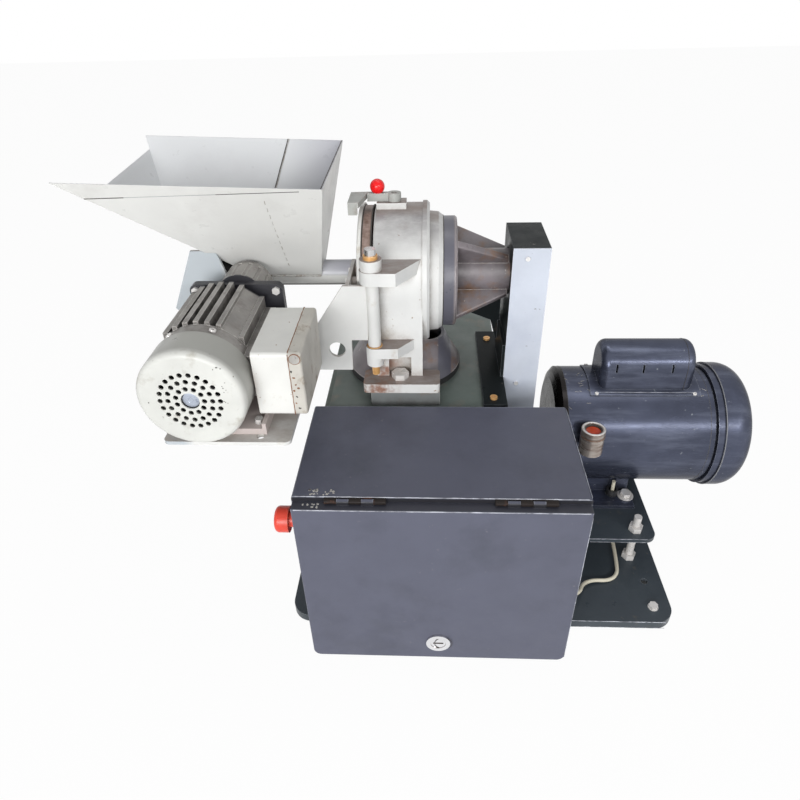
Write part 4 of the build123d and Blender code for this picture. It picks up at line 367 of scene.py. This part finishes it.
# Nodes whose finish is not the one of their material slot.
DRESS = {
    "table_top": "table_green",
    "pedestals": "pedestal_paint",
    "capacitor_cover": "motor_paint",
    "guard_bracket": "guard_paint",
    "door_hinges": "hinge_dark",
    "feeder_bracket": "bracket_paint",
    "bevel_housing": "bevel_black",
    "reset_collar": "collar_brown",
    "reset_button": "reset_red",
    "latch_arm": "latch_grey",
}

# Bands of another colour: lowest and highest place along one axis, in metres of the frame.
FAR = 1.0
HOPPER_CORNER_SHADE_X = (-0.205, -0.125)
DOOR_RECESS_SHADE_Y = (-0.2240, -0.2110)
DOOR_RECESS_SHADE_Z = (0.2636, 0.2690)
MILL_FOOT_X = (-FAR, -0.062)
MILL_FOOT_Z = (0.275, 0.312)
BRACKET_LEFT_X = (-FAR, -0.262)
BUSH_FRONT_Y = (0.006, 0.026)
HOUSING_FLANGE_X = (-0.01, 0.007)
GEAR_HEAD_SHADE_Y = (-0.042, -0.0205)
GEAR_MOTOR_FEET_Z = (0.0, 0.336)
MOTOR_LEFT_X = (-FAR, 0.1612)
COWL_SHADED_SIDE_Y = (-0.184, FAR)


def brown_flat_tops(tree):
    # Darker brown patches on flat faces that look up.
    flat = ramp(tree, axis_value(tree, "Normal", "Z"), 0.94, 0.99)
    broken = ramp(tree, noise(tree, 52.0, 8.0, 0.7, (0.4, 1, 1), (1, 7, 5)), 0.32, 0.55, 0.45, 0.95)
    return math_node(tree, "MULTIPLY", flat, broken)


def hopper_inside_shade(tree, amount=0.6):
    # Faces that look up, the hopper's inner walls: painted shade, cooler and darker than the outer walls.
    return ramp(tree, axis_value(tree, "Normal", "Z"), 0.05, 0.25, 0.0, amount)


def hopper_corner_shade(tree):
    # Painted shade on the inner walls towards the back right corner.
    along = ramp(tree, axis_value(tree, "Object", "X"), *HOPPER_CORNER_SHADE_X, 0.0, 0.85)
    return math_node(tree, "MULTIPLY", hopper_inside_shade(tree, 1.0), along)


def door_recess_shade(tree):
    # Painted shade in the recess between the box's top and the door.
    height = band_mask(tree, "Z", *DOOR_RECESS_SHADE_Z)
    return math_node(tree, "MULTIPLY", height, band_mask(tree, "Y", *DOOR_RECESS_SHADE_Y))


def rusty_foot(tree):
    height = band_mask(tree, "Z", *MILL_FOOT_Z, 0.004)
    corner = math_node(tree, "MULTIPLY", height, band_mask(tree, "X", *MILL_FOOT_X, 0.01))
    broken = ramp(tree, noise(tree, 60.0, 7.0, 0.7, (1, 1, 1), (8, 3, 1)), 0.40, 0.58)
    return math_node(tree, "MULTIPLY", corner, broken)


# Tints on parts of some finishes: rust and dust, and also painted shade and painted light where marked.
def weather_and_shade(materials):
    # Darker mill faces that look up: partly dust, partly painted shade.
    tint(materials["mill_paint"], up_mask, (0.27, 0.26, 0.265))
    tint(materials["mill_paint"], brown_flat_tops, (0.22, 0.175, 0.155))
    tint(materials["mill_paint"], rusty_foot, (0.27, 0.15, 0.11))
    tint(materials["bracket_paint"], lambda tree: band_mask(tree, "X", *BRACKET_LEFT_X, 0.006),
         (0.44, 0.48, 0.51))
    # Darker bracket faces that look up: partly dust, partly painted shade.
    tint(materials["bracket_paint"], up_mask, (0.40, 0.37, 0.345))
    tint(materials["brass"], lambda tree: band_mask(tree, "Y", *BUSH_FRONT_Y), (0.84, 0.83, 0.82))
    tint(materials["purple_cast"], lambda tree: band_mask(tree, "X", *HOUSING_FLANGE_X), (0.10, 0.10, 0.125))
    # Near-black band at the fin roots behind the body: painted shade.
    tint(materials["fin_grey"], lambda tree: band_mask(tree, "Y", *GEAR_HEAD_SHADE_Y), (0.03, 0.03, 0.036))
    # Lighter colour on the feet and the lower body: painted light where they lie in shade.
    tint(materials["fin_grey"], lambda tree: band_mask(tree, "Z", *GEAR_MOTOR_FEET_Z, 0.002),
         (0.50, 0.44, 0.42))
    tint(materials["motor_paint"], lambda tree: band_mask(tree, "X", *MOTOR_LEFT_X), (0.015, 0.013, 0.013))
    # Darker colour on the cowl's side: painted shade.
    tint(materials["cowl_paint"], lambda tree: band_mask(tree, "Y", *COWL_SHADED_SIDE_Y, 0.003), (0.38, 0.38, 0.355))
    tint(materials["hopper_paint"], hopper_inside_shade, (0.66, 0.68, 0.715))
    tint(materials["hopper_paint"], hopper_corner_shade, (0.34, 0.34, 0.39))
    tint(materials["box_paint"], door_recess_shade, (0.022, 0.022, 0.027))


def dress_nodes(materials):
    slots = {row["node"]: row["material_slot"] for row in frame["record"]["subparts"]}
    for name, node in frame["nodes"].items():
        node.data.materials.clear()
        node.data.materials.append(materials[DRESS.get(name, slots[name])])


# ---------- places, in the model's millimetres ----------
def place(x, y, z):
    return Vector([(value - origin) / 1000 for value, origin in zip((x, y, z), MODEL_ORIGIN)])


def corners(node):
    return [[1000 * value + origin for value, origin in zip(corner, MODEL_ORIGIN)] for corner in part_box(node)]


def middle(node):
    low, high = corners(node)
    return [(a + b) / 2 for a, b in zip(low, high)]


def between(start, end, count):
    return [tuple(a + (b - a) * k / (count - 1) for a, b in zip(start, end)) for k in range(count)]


X_AXIS, Y_AXIS, Z_AXIS = range(3)


def ring(axis, centre, r, count=64):
    first, second = [index for index in range(3) if index != axis]
    points = []
    for k in range(count):
        point = list(centre)
        point[first] += r * math.cos(math.tau * k / count)
        point[second] += r * math.sin(math.tau * k / count)
        points.append(point)
    return points


SPINDLE_Y, SPINDLE_Z = middle("door_ring")[1:]
MOTOR_Y, MOTOR_Z = middle("fan_cover")[1:]

# What a piece lies on: the body that it rides on, and its material slot.
HOPPER = ("feeder", "hopper_paint")
FINS = ("feeder", "fin_grey")
COWL = ("feeder", "cowl_paint")
LID = ("feeder", "lid_paint")
FEEDER_ZINC = ("feeder", "zinc")
FAN = ("small_fan", "black_plastic")
MOTOR = ("frame", "motor_paint")
CAN = ("frame", "can_paint")
MOTOR_ZINC = ("frame", "zinc")
COLLAR = ("frame", "chrome")
BOX = ("frame", "box_paint")
BOX_DOOR = ("box_lid", "box_paint")
LOCK = ("lock", "chrome")
PLATE = ("frame", "dark_plate")
MILL_RING = ("feeder", "rusty")
MILL = ("frame", "mill_paint")
LEAD = ("frame", "cream_cable")
TO_FRONT = (0, -1, 0)
UP = (0, 0, 1)


# ---------- kinds of extra piece ----------
def add_piece(name, data, material, surface):
    piece = bpy.data.objects.new(name, data)
    data.materials.append(materials[material])
    bpy.context.collection.objects.link(piece)
    body, slot = surface
    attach(piece, body)
    return piece


def add_line(name, points, radius, material, surface, closed=False, wobble=0.0):
    curve = bpy.data.curves.new(name, "CURVE")
    curve.dimensions = "3D"
    curve.bevel_depth = radius / 1000
    curve.bevel_resolution = 2
    curve.use_fill_caps = not closed
    spline = curve.splines.new("POLY")
    spline.points.add(len(points) - 1)
    for point, spot in zip(spline.points, points):
        shift = [random.uniform(-wobble, wobble) for _ in range(3)]
        point.co = (*place(*[value + move for value, move in zip(spot, shift)]), 1)
        point.radius = 1 + random.uniform(-0.25, 0.25) * (wobble > 0)
    spline.use_cyclic_u = closed
    return add_piece(name, curve, material, surface)


def finish_mesh(name, mesh, at, facing, spin=0.0):
    turn = Vector(facing).to_track_quat("Z", "Y").to_matrix().to_4x4()
    mesh.transform(Matrix.Translation(place(*at)) @ turn @ Matrix.Rotation(spin, 4, "Z"))
    data = bpy.data.meshes.new(name)
    mesh.to_mesh(data)
    mesh.free()
    return data


def close_rings(mesh, rings):
    for low, high in zip(rings, rings[1:]):
        count = len(low)
        for k in range(count):
            mesh.faces.new((low[k], low[(k + 1) % count], high[(k + 1) % count], high[k]))
    mesh.faces.new(rings[-1])
    mesh.faces.new(list(reversed(rings[0])))


def add_turned(name, at, facing, profile, material, surface, sides=28):
    mesh = bmesh.new()
    rings = []
    for r, height in profile:
        angles = [math.tau * k / sides for k in range(sides)]
        spots = [(r * math.cos(a) / 1000, r * math.sin(a) / 1000, height / 1000) for a in angles]
        rings.append([mesh.verts.new(spot) for spot in spots])
    close_rings(mesh, rings)
    data = finish_mesh(name, mesh, at, facing)
    for face in data.polygons:
        face.use_smooth = True
    piece = add_piece(name, data, material, surface)
    edges = piece.modifiers.new("edges", "EDGE_SPLIT")
    edges.split_angle = math.radians(35)
    return piece


def screw_profile(r, height):
    return [(r, -0.3), (r, height * 0.45), (r * 0.88, height * 0.85), (r * 0.6, height), (r * 0.32, height),
            (r * 0.26, height * 0.45), (0.05 * r, height * 0.45)]


def add_flake(name, at, facing, size, material, surface):
    squash = 0.7
    shrink = 0.8
    depth, height = -0.0001, 0.00012
    mesh = bmesh.new()
    count = random.randint(7, 10)
    rim, top = [], []
    for k in range(count):
        angle = math.tau * k / count
        r = size * random.uniform(0.55, 1.1) / 1000
        x, y = r * math.cos(angle), squash * r * math.sin(angle)
        rim.append(mesh.verts.new((x, y, depth)))
        top.append(mesh.verts.new((shrink * x, shrink * y, height)))
    close_rings(mesh, [rim, top])
    data = finish_mesh(name, mesh, at, facing, random.uniform(0, 3))
    return add_piece(name, data, material, surface)


# ---------- hopper ----------
HOPPER_CREASE = ((-218.5, 180.1, 526.2), (20.5, 168.9, 534.4))
HOPPER_JOINT = ((-30.5, 177.9, 522.7), (-29.4, 248.8, 417.4))
HOPPER_SEAM = ((-41.2, 374.8, 539.6), (-57.5, 339.6, 488.9))
HOPPER_RIM = ((30.2, 169.2, 536.3), (26.6, 374.8, 536.3))
SEAM_SHINE = 1.4
TUBE_WELD_X = (-75.0, 6.0)
TUBE_WELD_OUT, TUBE_WELD_RISE = 15.8, 2.0
TUBE_SHADOW_X = (-74.0, 58.0)
TUBE_SHADOW_OUT, TUBE_SHADOW_DROP = 8.8, 12.4


def dress_hopper():
    # Dark and grey lines along the fold of the front: painted shade along the crease.
    crease = between(*HOPPER_CREASE, 40)
    add_line("hopper_crease_dark", crease[:8], 0.55, "dark_line", HOPPER)
    add_line("hopper_crease_mid", crease[7:24], 0.28, "grey_line", HOPPER)
    add_line("hopper_crease_right", crease[23:38], 0.42, "dark_line", HOPPER)
    joint = between(*HOPPER_JOINT, 46)
    for index in range(0, 44, 4):
        add_line(f"hopper_joint_{index}", joint[index:index + 3], 0.35, "weld", HOPPER, wobble=0.25)
    seam = between(*HOPPER_SEAM, 24)
    add_line("hopper_seam_dark", seam, 0.5, "dark_line", HOPPER)
    # A light line beside the seam: painted highlight.
    add_line("hopper_seam_highlight", [(x + SEAM_SHINE, y, z) for x, y, z in seam], 0.4, "weld", HOPPER)
    add_line("hopper_rim_right", between(*HOPPER_RIM, 40), 0.7, "dark_line", HOPPER)
    shadow_y, shadow_z = SPINDLE_Y - TUBE_SHADOW_OUT, SPINDLE_Z - TUBE_SHADOW_DROP
    shadow = between(*[(x, shadow_y, shadow_z) for x in TUBE_SHADOW_X], 40)
    add_line("feed_tube_shadow", shadow, 0.8, "dark_line", HOPPER)
    for name, out in (("hopper_weld_front", -TUBE_WELD_OUT), ("hopper_weld_back", TUBE_WELD_OUT)):
        bead = between(*[(x, SPINDLE_Y + out, SPINDLE_Z + TUBE_WELD_RISE) for x in TUBE_WELD_X], 44)
        add_line(name, bead, 1.5, "weld", HOPPER, wobble=0.35)


# ---------- gear motor and its terminal box ----------
SHIELD_SCREW_ANGLES = (18.8, -33.0, 147.0, -147.0)
SHIELD_SCREW_REACH, SHIELD_SCREW_BACK = 50.4, 9.0
COWL_JOINT_R, COWL_JOINT_BACK = 50.6, 0.2
FAN_HUB_BACK = 2.7
KNOCK_OUT = [(5.4, -0.2), (5.4, 0.5), (4.8, 0.9), (3.8, 0.6), (2.2, 0.6), (1.8, 0.9), (0.2, 0.8)]
KNOCK_OUT_X, KNOCK_OUT_DROP, KNOCK_OUT_R = 10.4, 6.0, 5.3
LID_CHIPS = ((5.6, 398), (7.5, 391), (8.4, 383), (6.2, 376), (7.9, 369), (6.6, 361), (9.4, 355), (10.8, 379))
COWL_CHIPS = ((-54.6, 421.1), (-51.0, 420.0), (-58.0, 419.2), (-127.0, 382.0))
COWL_SPECKS_X, COWL_SPECKS_Z = -51.5, 372.0


def dress_gear_motor():
    centre_x, _, centre_z = middle("gear_motor_cowl")
    front, back = [corner[Y_AXIS] for corner in corners("gear_motor_cowl")]
    for index, angle in enumerate(SHIELD_SCREW_ANGLES):
        turn = math.radians(angle)
        out = (math.sin(turn), 0, math.cos(turn))
        at = (centre_x + SHIELD_SCREW_REACH * out[0], back + SHIELD_SCREW_BACK,
              centre_z + SHIELD_SCREW_REACH * out[2])
        add_turned(f"shield_screw_{index}", at, out, screw_profile(3.6, 2.2), "zinc", FEEDER_ZINC)
    joint = ring(Y_AXIS, (centre_x, back + COWL_JOINT_BACK, centre_z), COWL_JOINT_R)
    add_line("cowl_joint", joint, 0.5, "dark_line", FINS, True)
    hub = (centre_x, front + FAN_HUB_BACK, centre_z)
    add_turned("fan_hub", hub, TO_FRONT, screw_profile(8.2, 0.9), "hub_blue", FAN)
    dress_lid()
    for index, (x, z) in enumerate(COWL_CHIPS):
        add_flake(f"cowl_chip_{index}", (x, front, z), TO_FRONT, random.uniform(0.8, 1.5), "dark_line", COWL)
    for index in range(9):
        at = (COWL_SPECKS_X + random.uniform(-2.5, 2.5), front, COWL_SPECKS_Z + random.uniform(0, 34))
        add_flake(f"cowl_speck_{index}", at, TO_FRONT, random.uniform(0.5, 1.0), "dark_line", COWL)


def dress_lid():
    (left, front, bottom), (_, back, top) = corners("terminal_lid")
    proud = 0.1
    knock_z = top - KNOCK_OUT_DROP
    add_turned("lid_knock_out", (KNOCK_OUT_X, front, knock_z), TO_FRONT, KNOCK_OUT, "scuff", LID)
    knock_ring = ring(Y_AXIS, (KNOCK_OUT_X, front - proud, knock_z), KNOCK_OUT_R, 32)
    add_line("lid_knock_ring", knock_ring, 0.6, "rust_line", LID, True)
    for index, y in enumerate((front - proud, back + proud)):
        seam = between((left, y, top - 1), (left, y, bottom + 1), 30)
        add_line(f"lid_seam_{index}", seam, 0.42, "rust_line", LID, wobble=0.15)
    seam = between((left, front + 2, top + proud), (left, back - 2, top + proud), 30)
    add_line("lid_seam_top", seam, 0.42, "rust_line", LID, wobble=0.12)
    for x, z in LID_CHIPS:
        size = random.uniform(1.4, 2.4)
        material = random.choice(("rust_line", "dark_line"))
        add_flake(f"lid_chip_{z}", (x, front, z), TO_FRONT, size, material, LID)


# ---------- main motor ----------
MOTOR_JOINT_R = 79.95
FAN_LIP_R, FAN_LIP_BACK = 85.6, 0.4
CAN_SEAM_X, CAN_SEAM_HALF, CAN_SEAM_R = 470.0, 30.2, 30.15
CAN_CROWN, CAN_SEAM_LOW = 275.9, 250.0
CAN_SCREW_X = (358.0, 484.0)
CAN_SCREW_OUT, CAN_SCREW_RISE, CAN_SCREW_SLOPE, CAN_SCREW_REACH = 36.0, 73.6, 81.9, 81.8
CAN_LOUVRES_X = (380.0, 414.0, 451.0)
LOUVRE_SHIFT, LOUVRE_Y, LOUVRE_Z = 1.3, 241.4, (275.0, 288.0)
CAN_EDGE_X, CAN_EDGE_Y, CAN_EDGE_Z = (357.0, 485.0), 236.6, (249.2, 246.6)
SHELL_REACH, BELL_REACH, BELL_START = 80.2, 79.0, 500
LEFT_SCUFFS_X, RIGHT_SCUFFS_X = (322, 352), (488, 514)
SCUFF_ANGLES = (48, 92)


def around_motor(x, reach, turn):
    return x, MOTOR_Y - reach * math.cos(turn), MOTOR_Z + reach * math.sin(turn)


def dress_motor():
    for index, corner in enumerate(corners("motor_shell")):
        joint = ring(X_AXIS, (corner[X_AXIS], MOTOR_Y, MOTOR_Z), MOTOR_JOINT_R)
        add_line(f"motor_joint_{index}", joint, 0.35, "dark_line", MOTOR, True)
    lip_x = corners("fan_cover")[0][X_AXIS] + FAN_LIP_BACK
    lip = ring(X_AXIS, (lip_x, MOTOR_Y, MOTOR_Z), FAN_LIP_R)
    add_line("fan_cover_lip", lip, 0.7, "grey_line", MOTOR, True)
    dress_can()
    dress_reset()
    # Light lines along the capacitor cover's edges: painted highlights.
    for index, z in enumerate(CAN_EDGE_Z):
        edge = between(*[(x, CAN_EDGE_Y - index, z) for x in CAN_EDGE_X], 40)
        add_line(f"can_edge_{index}", edge, 0.3, "painted_edge_highlight", CAN, wobble=0.1)
    for index in range(26):
        x = random.choice((random.uniform(*LEFT_SCUFFS_X), random.uniform(*RIGHT_SCUFFS_X)))
        turn = math.radians(random.uniform(*SCUFF_ANGLES))
        reach = SHELL_REACH if x < BELL_START else BELL_REACH
        start = around_motor(x, reach, turn)
        turn += random.uniform(-0.05, 0.05)
        end = around_motor(x + random.uniform(-6, 6), reach, turn)
        add_line(f"motor_scuff_{index}", between(start, end, 6), 0.28, "scuff", MOTOR, wobble=0.3)


def dress_can():
    left, right = MOTOR_Y - CAN_SEAM_HALF, MOTOR_Y + CAN_SEAM_HALF
    turns = [math.radians(degrees) for degrees in range(6, 180, 6)]
    over = [(CAN_SEAM_X, MOTOR_Y - CAN_SEAM_R * math.cos(turn), CAN_CROWN + CAN_SEAM_R * math.sin(turn))
            for turn in turns]
    rise = [(CAN_SEAM_X, left, CAN_SEAM_LOW), (CAN_SEAM_X, left, CAN_CROWN)]
    fall = [(CAN_SEAM_X, right, CAN_CROWN), (CAN_SEAM_X, right, CAN_SEAM_LOW)]
    add_line("can_seam", rise + over + fall, 0.3, "dark_line", CAN)
    for side in (-1, 1):
        out = (0, side * CAN_SCREW_OUT / CAN_SCREW_SLOPE, CAN_SCREW_RISE / CAN_SCREW_SLOPE)
        for x in CAN_SCREW_X:
            at = (x, MOTOR_Y + CAN_SCREW_REACH * out[1], MOTOR_Z + CAN_SCREW_REACH * out[2])
            add_turned(f"can_screw_{int(x)}_{side + 1}", at, out, screw_profile(2.6, 1.6), "zinc", MOTOR_ZINC)
    for x in CAN_LOUVRES_X:
        hood = between(*[(x + LOUVRE_SHIFT, LOUVRE_Y, z) for z in LOUVRE_Z], 9)
        add_line(f"can_louvre_{int(x)}", hood, 0.6, "motor_paint", CAN)


def dress_reset():
    x, y, _ = middle("reset_button")
    top = corners("reset_collar")[1][Z_AXIS]
    # The dark ring of the well is painted shade in the gap around the button.
    for name, drop, r, radius, material in (("reset_rim", 0.6, 13.3, 1.6, "zinc"),
                                            ("reset_groove", 9.0, 14.9, 0.45, "rust_line"),
                                            ("reset_well", 2.4, 10.9, 1.6, "dark_line")):
        add_line(name, ring(Z_AXIS, (x, y, top - drop), r, 48), radius, material, COLLAR, True)


# ---------- control box, plates and mill ----------
DOOR_EDGE_Y, DOOR_EDGE_Z, DOOR_EDGE_X = -13.0, 275.7, 298.7
DOOR_TOP = 276.0
BOX_WEAR_X, BOX_WEAR_Y = (17, 44), (3.0, 11.0)
DOOR_WEAR_X, DOOR_WEAR_Y = (12, 30), (-9.0, -4.0)
LOCK_X, LOCK_Y, LOCK_Z, LOCK_GROOVE_R = 156.0, -15.9, 65.05, 10.2
MILL_DOOR_GAP_R, FLANGE_GAP_R = 79.2, 66.4


def dress_box():
    (left, _, _), (right, back, top) = corners("box_shell")
    # Light lines along the box's and the door's edges: painted highlights.
    for name, start, end, count, radius, surface in (
            ("box_edge_front", (left + 4, 0.3, top - 0.2), (right - 4, 0.3, top - 0.2), 60, 0.5, BOX),
            ("box_edge_right", (right - 0.4, 3.0, top - 0.3), (right - 0.4, back - 4, top - 0.3), 40, 0.35,
             BOX),
            ("door_edge_top", (left + 4, DOOR_EDGE_Y, DOOR_EDGE_Z), (right - 4, DOOR_EDGE_Y, DOOR_EDGE_Z), 60,
             0.5, BOX_DOOR),
            ("door_edge_right", (DOOR_EDGE_X, DOOR_EDGE_Y, 270.0), (DOOR_EDGE_X, DOOR_EDGE_Y, 40.0), 50, 0.3,
             BOX_DOOR)):
        add_line(name, between(start, end, count), radius, "painted_edge_highlight", surface, wobble=0.08)
    for index in range(22):
        at = (random.uniform(*BOX_WEAR_X), random.uniform(*BOX_WEAR_Y), top)
        add_flake(f"box_wear_{index}", at, UP, random.uniform(1.0, 2.6), "scuff", BOX)
    for index in range(8):
        at = (random.uniform(*DOOR_WEAR_X), random.uniform(*DOOR_WEAR_Y), DOOR_TOP)
        add_flake(f"door_wear_{index}", at, UP, random.uniform(1.2, 2.4), "scuff", BOX_DOOR)
    groove = ring(Y_AXIS, (LOCK_X, LOCK_Y, LOCK_Z), LOCK_GROOVE_R, 48)
    add_line("lock_groove", groove, 0.3, "dark_line", LOCK, True)


def dress_plates():
    # Light lines along the plates' front edges: painted highlights.
    for name, node, left, right, low_rise in (("base_front", "base_plate", 300.0, 436.0, 0.4),
                                              ("motor_plate", "motor_plate", 308.0, 427.0, 0.3)):
        (_, front, bottom), (_, _, top) = corners(node)
        for edge, z in (("top", top - 0.2), ("low", bottom + low_rise)):
            line = between((left, front + 0.3, z), (right, front + 0.3, z), 40)
            add_line(f"{name}_{edge}", line, 0.4, "painted_edge_highlight", PLATE, wobble=0.1)


def dress_mill():
    (ring_left, _, _), (ring_right, _, _) = corners("door_ring")
    # Dark rings in the gaps at the door ring's sides: painted shade.
    for index, x in enumerate((ring_left + 0.4, ring_right - 0.3)):
        gap = ring(X_AXIS, (x, SPINDLE_Y, SPINDLE_Z), MILL_DOOR_GAP_R)
        add_line(f"door_gap_{index}", gap, 0.9, "dark_line", MILL_RING, True)
    # A dark ring in the gap at the bearing housing's flange: painted shade.
    flange_x = corners("bearing_housing")[0][X_AXIS] + 0.1
    gap = ring(X_AXIS, (flange_x, SPINDLE_Y, SPINDLE_Z), FLANGE_GAP_R)
    add_line("flange_gap", gap, 0.8, "dark_line", MILL, True)


def add_motor_cable():
    curve = bpy.data.curves.new("motor_cable", "CURVE")
    curve.dimensions = "3D"
    curve.bevel_depth = CABLE_DIAMETER / 2
    curve.bevel_resolution = 5
    curve.resolution_u = 24
    curve.use_fill_caps = True
    spline = curve.splines.new("NURBS")
    spline.points.add(len(CABLE_ROUTE) - 1)
    for point, spot in zip(spline.points, CABLE_ROUTE):
        point.co = (*place(*spot), 1)
    spline.order_u = 3
    spline.use_endpoint_u = True
    cable = add_piece("motor_cable", curve, "cream_cable", LEAD)
    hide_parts("motor_lead")


# ---------- studio ----------
def is_seen_directly(tree):
    path = tree.nodes.new("ShaderNodeLightPath")
    add = tree.nodes.new("ShaderNodeMath")
    add.operation = "MAXIMUM"
    again = tree.nodes.new("ShaderNodeMath")
    again.operation = "MAXIMUM"
    tree.links.new(path.outputs["Is Camera Ray"], add.inputs[0])
    tree.links.new(path.outputs["Is Glossy Ray"], add.inputs[1])
    tree.links.new(add.outputs["Value"], again.inputs[0])
    tree.links.new(path.outputs["Is Transmission Ray"], again.inputs[1])
    return again.outputs["Value"]


def add_world():
    world = bpy.data.worlds.new("studio")
    world.use_nodes = True
    tree = world.node_tree
    background = tree.nodes["Background"]
    background.inputs["Color"].default_value = (1, 1, 1, 1)
    strength = ramp(tree, is_seen_directly(tree), 0.0, 1.0, AMBIENT, 1.0)
    tree.links.new(strength, background.inputs["Strength"])
    bpy.context.scene.world = world


def add_light(name, location, target, energy, size, size_y=None):
    data = bpy.data.lights.new(name, "AREA")
    data.energy = energy
    data.shape = "RECTANGLE" if size_y else "DISK"
    data.size = size
    if size_y:
        data.size_y = size_y
    lamp = bpy.data.objects.new(name, data)
    lamp.location = location
    lamp.rotation_euler = (Vector(target) - Vector(location)).to_track_quat("-Z", "Y").to_euler()
    bpy.context.collection.objects.link(lamp)



def add_floor():
    mesh = bpy.data.meshes.new("floor")
    rim = [(x * FLOOR_HALF, y * FLOOR_HALF, 0) for x, y in ((-1, -1), (1, -1), (1, 1), (-1, 1))]
    mesh.from_pydata(rim, [], [(0, 1, 2, 3)])
    floor = bpy.data.objects.new("floor", mesh)
    floor.location.z = cad_box[0].z - FLOOR_DROP
    material, tree, shader = new_material("floor_white")
    shader.inputs["Base Color"].default_value = (0.85, 0.85, 0.85, 1)
    shader.inputs["Roughness"].default_value = 0.9
    glow = tree.nodes.new("ShaderNodeEmission")
    glow.inputs["Color"].default_value = (1, 1, 1, 1)
    glow.inputs["Strength"].default_value = 1.0
    blend = tree.nodes.new("ShaderNodeMixShader")
    seen = ramp(tree, is_seen_directly(tree), 0.0, 1.0, 0.0, FLOOR_GLOW)
    tree.links.new(seen, blend.inputs["Fac"])
    tree.links.new(shader.outputs["BSDF"], blend.inputs[1])
    tree.links.new(glow.outputs["Emission"], blend.inputs[2])
    tree.links.new(blend.outputs["Shader"], tree.nodes["Material Output"].inputs["Surface"])
    mesh.materials.append(material)
    bpy.context.collection.objects.link(floor)


bpy.context.scene.view_settings.view_transform = "Standard"
add_camera()
materials = make_materials()
weather_and_shade(materials)
dress_nodes(materials)
dress_hopper()
dress_gear_motor()
dress_motor()
dress_box()
dress_plates()
dress_mill()
add_motor_cable()
add_world()
add_light("key", (-0.7, -2.6, 0.95), (0, 0, 0.25), 51, 1.5, 0.9)
add_light("strip", (1.15, -2.2, 1.45), (0.2, 0, 0.2), 25, 2.2, 0.2)
add_light("fill", (1.9, -1.3, 1.2), (0.1, 0, 0.2), 2, 1.0)
add_light("top", (0.2, 0.3, 2.2), (0, 0, 0.3), 7, 1.8, 0.5)
add_floor()
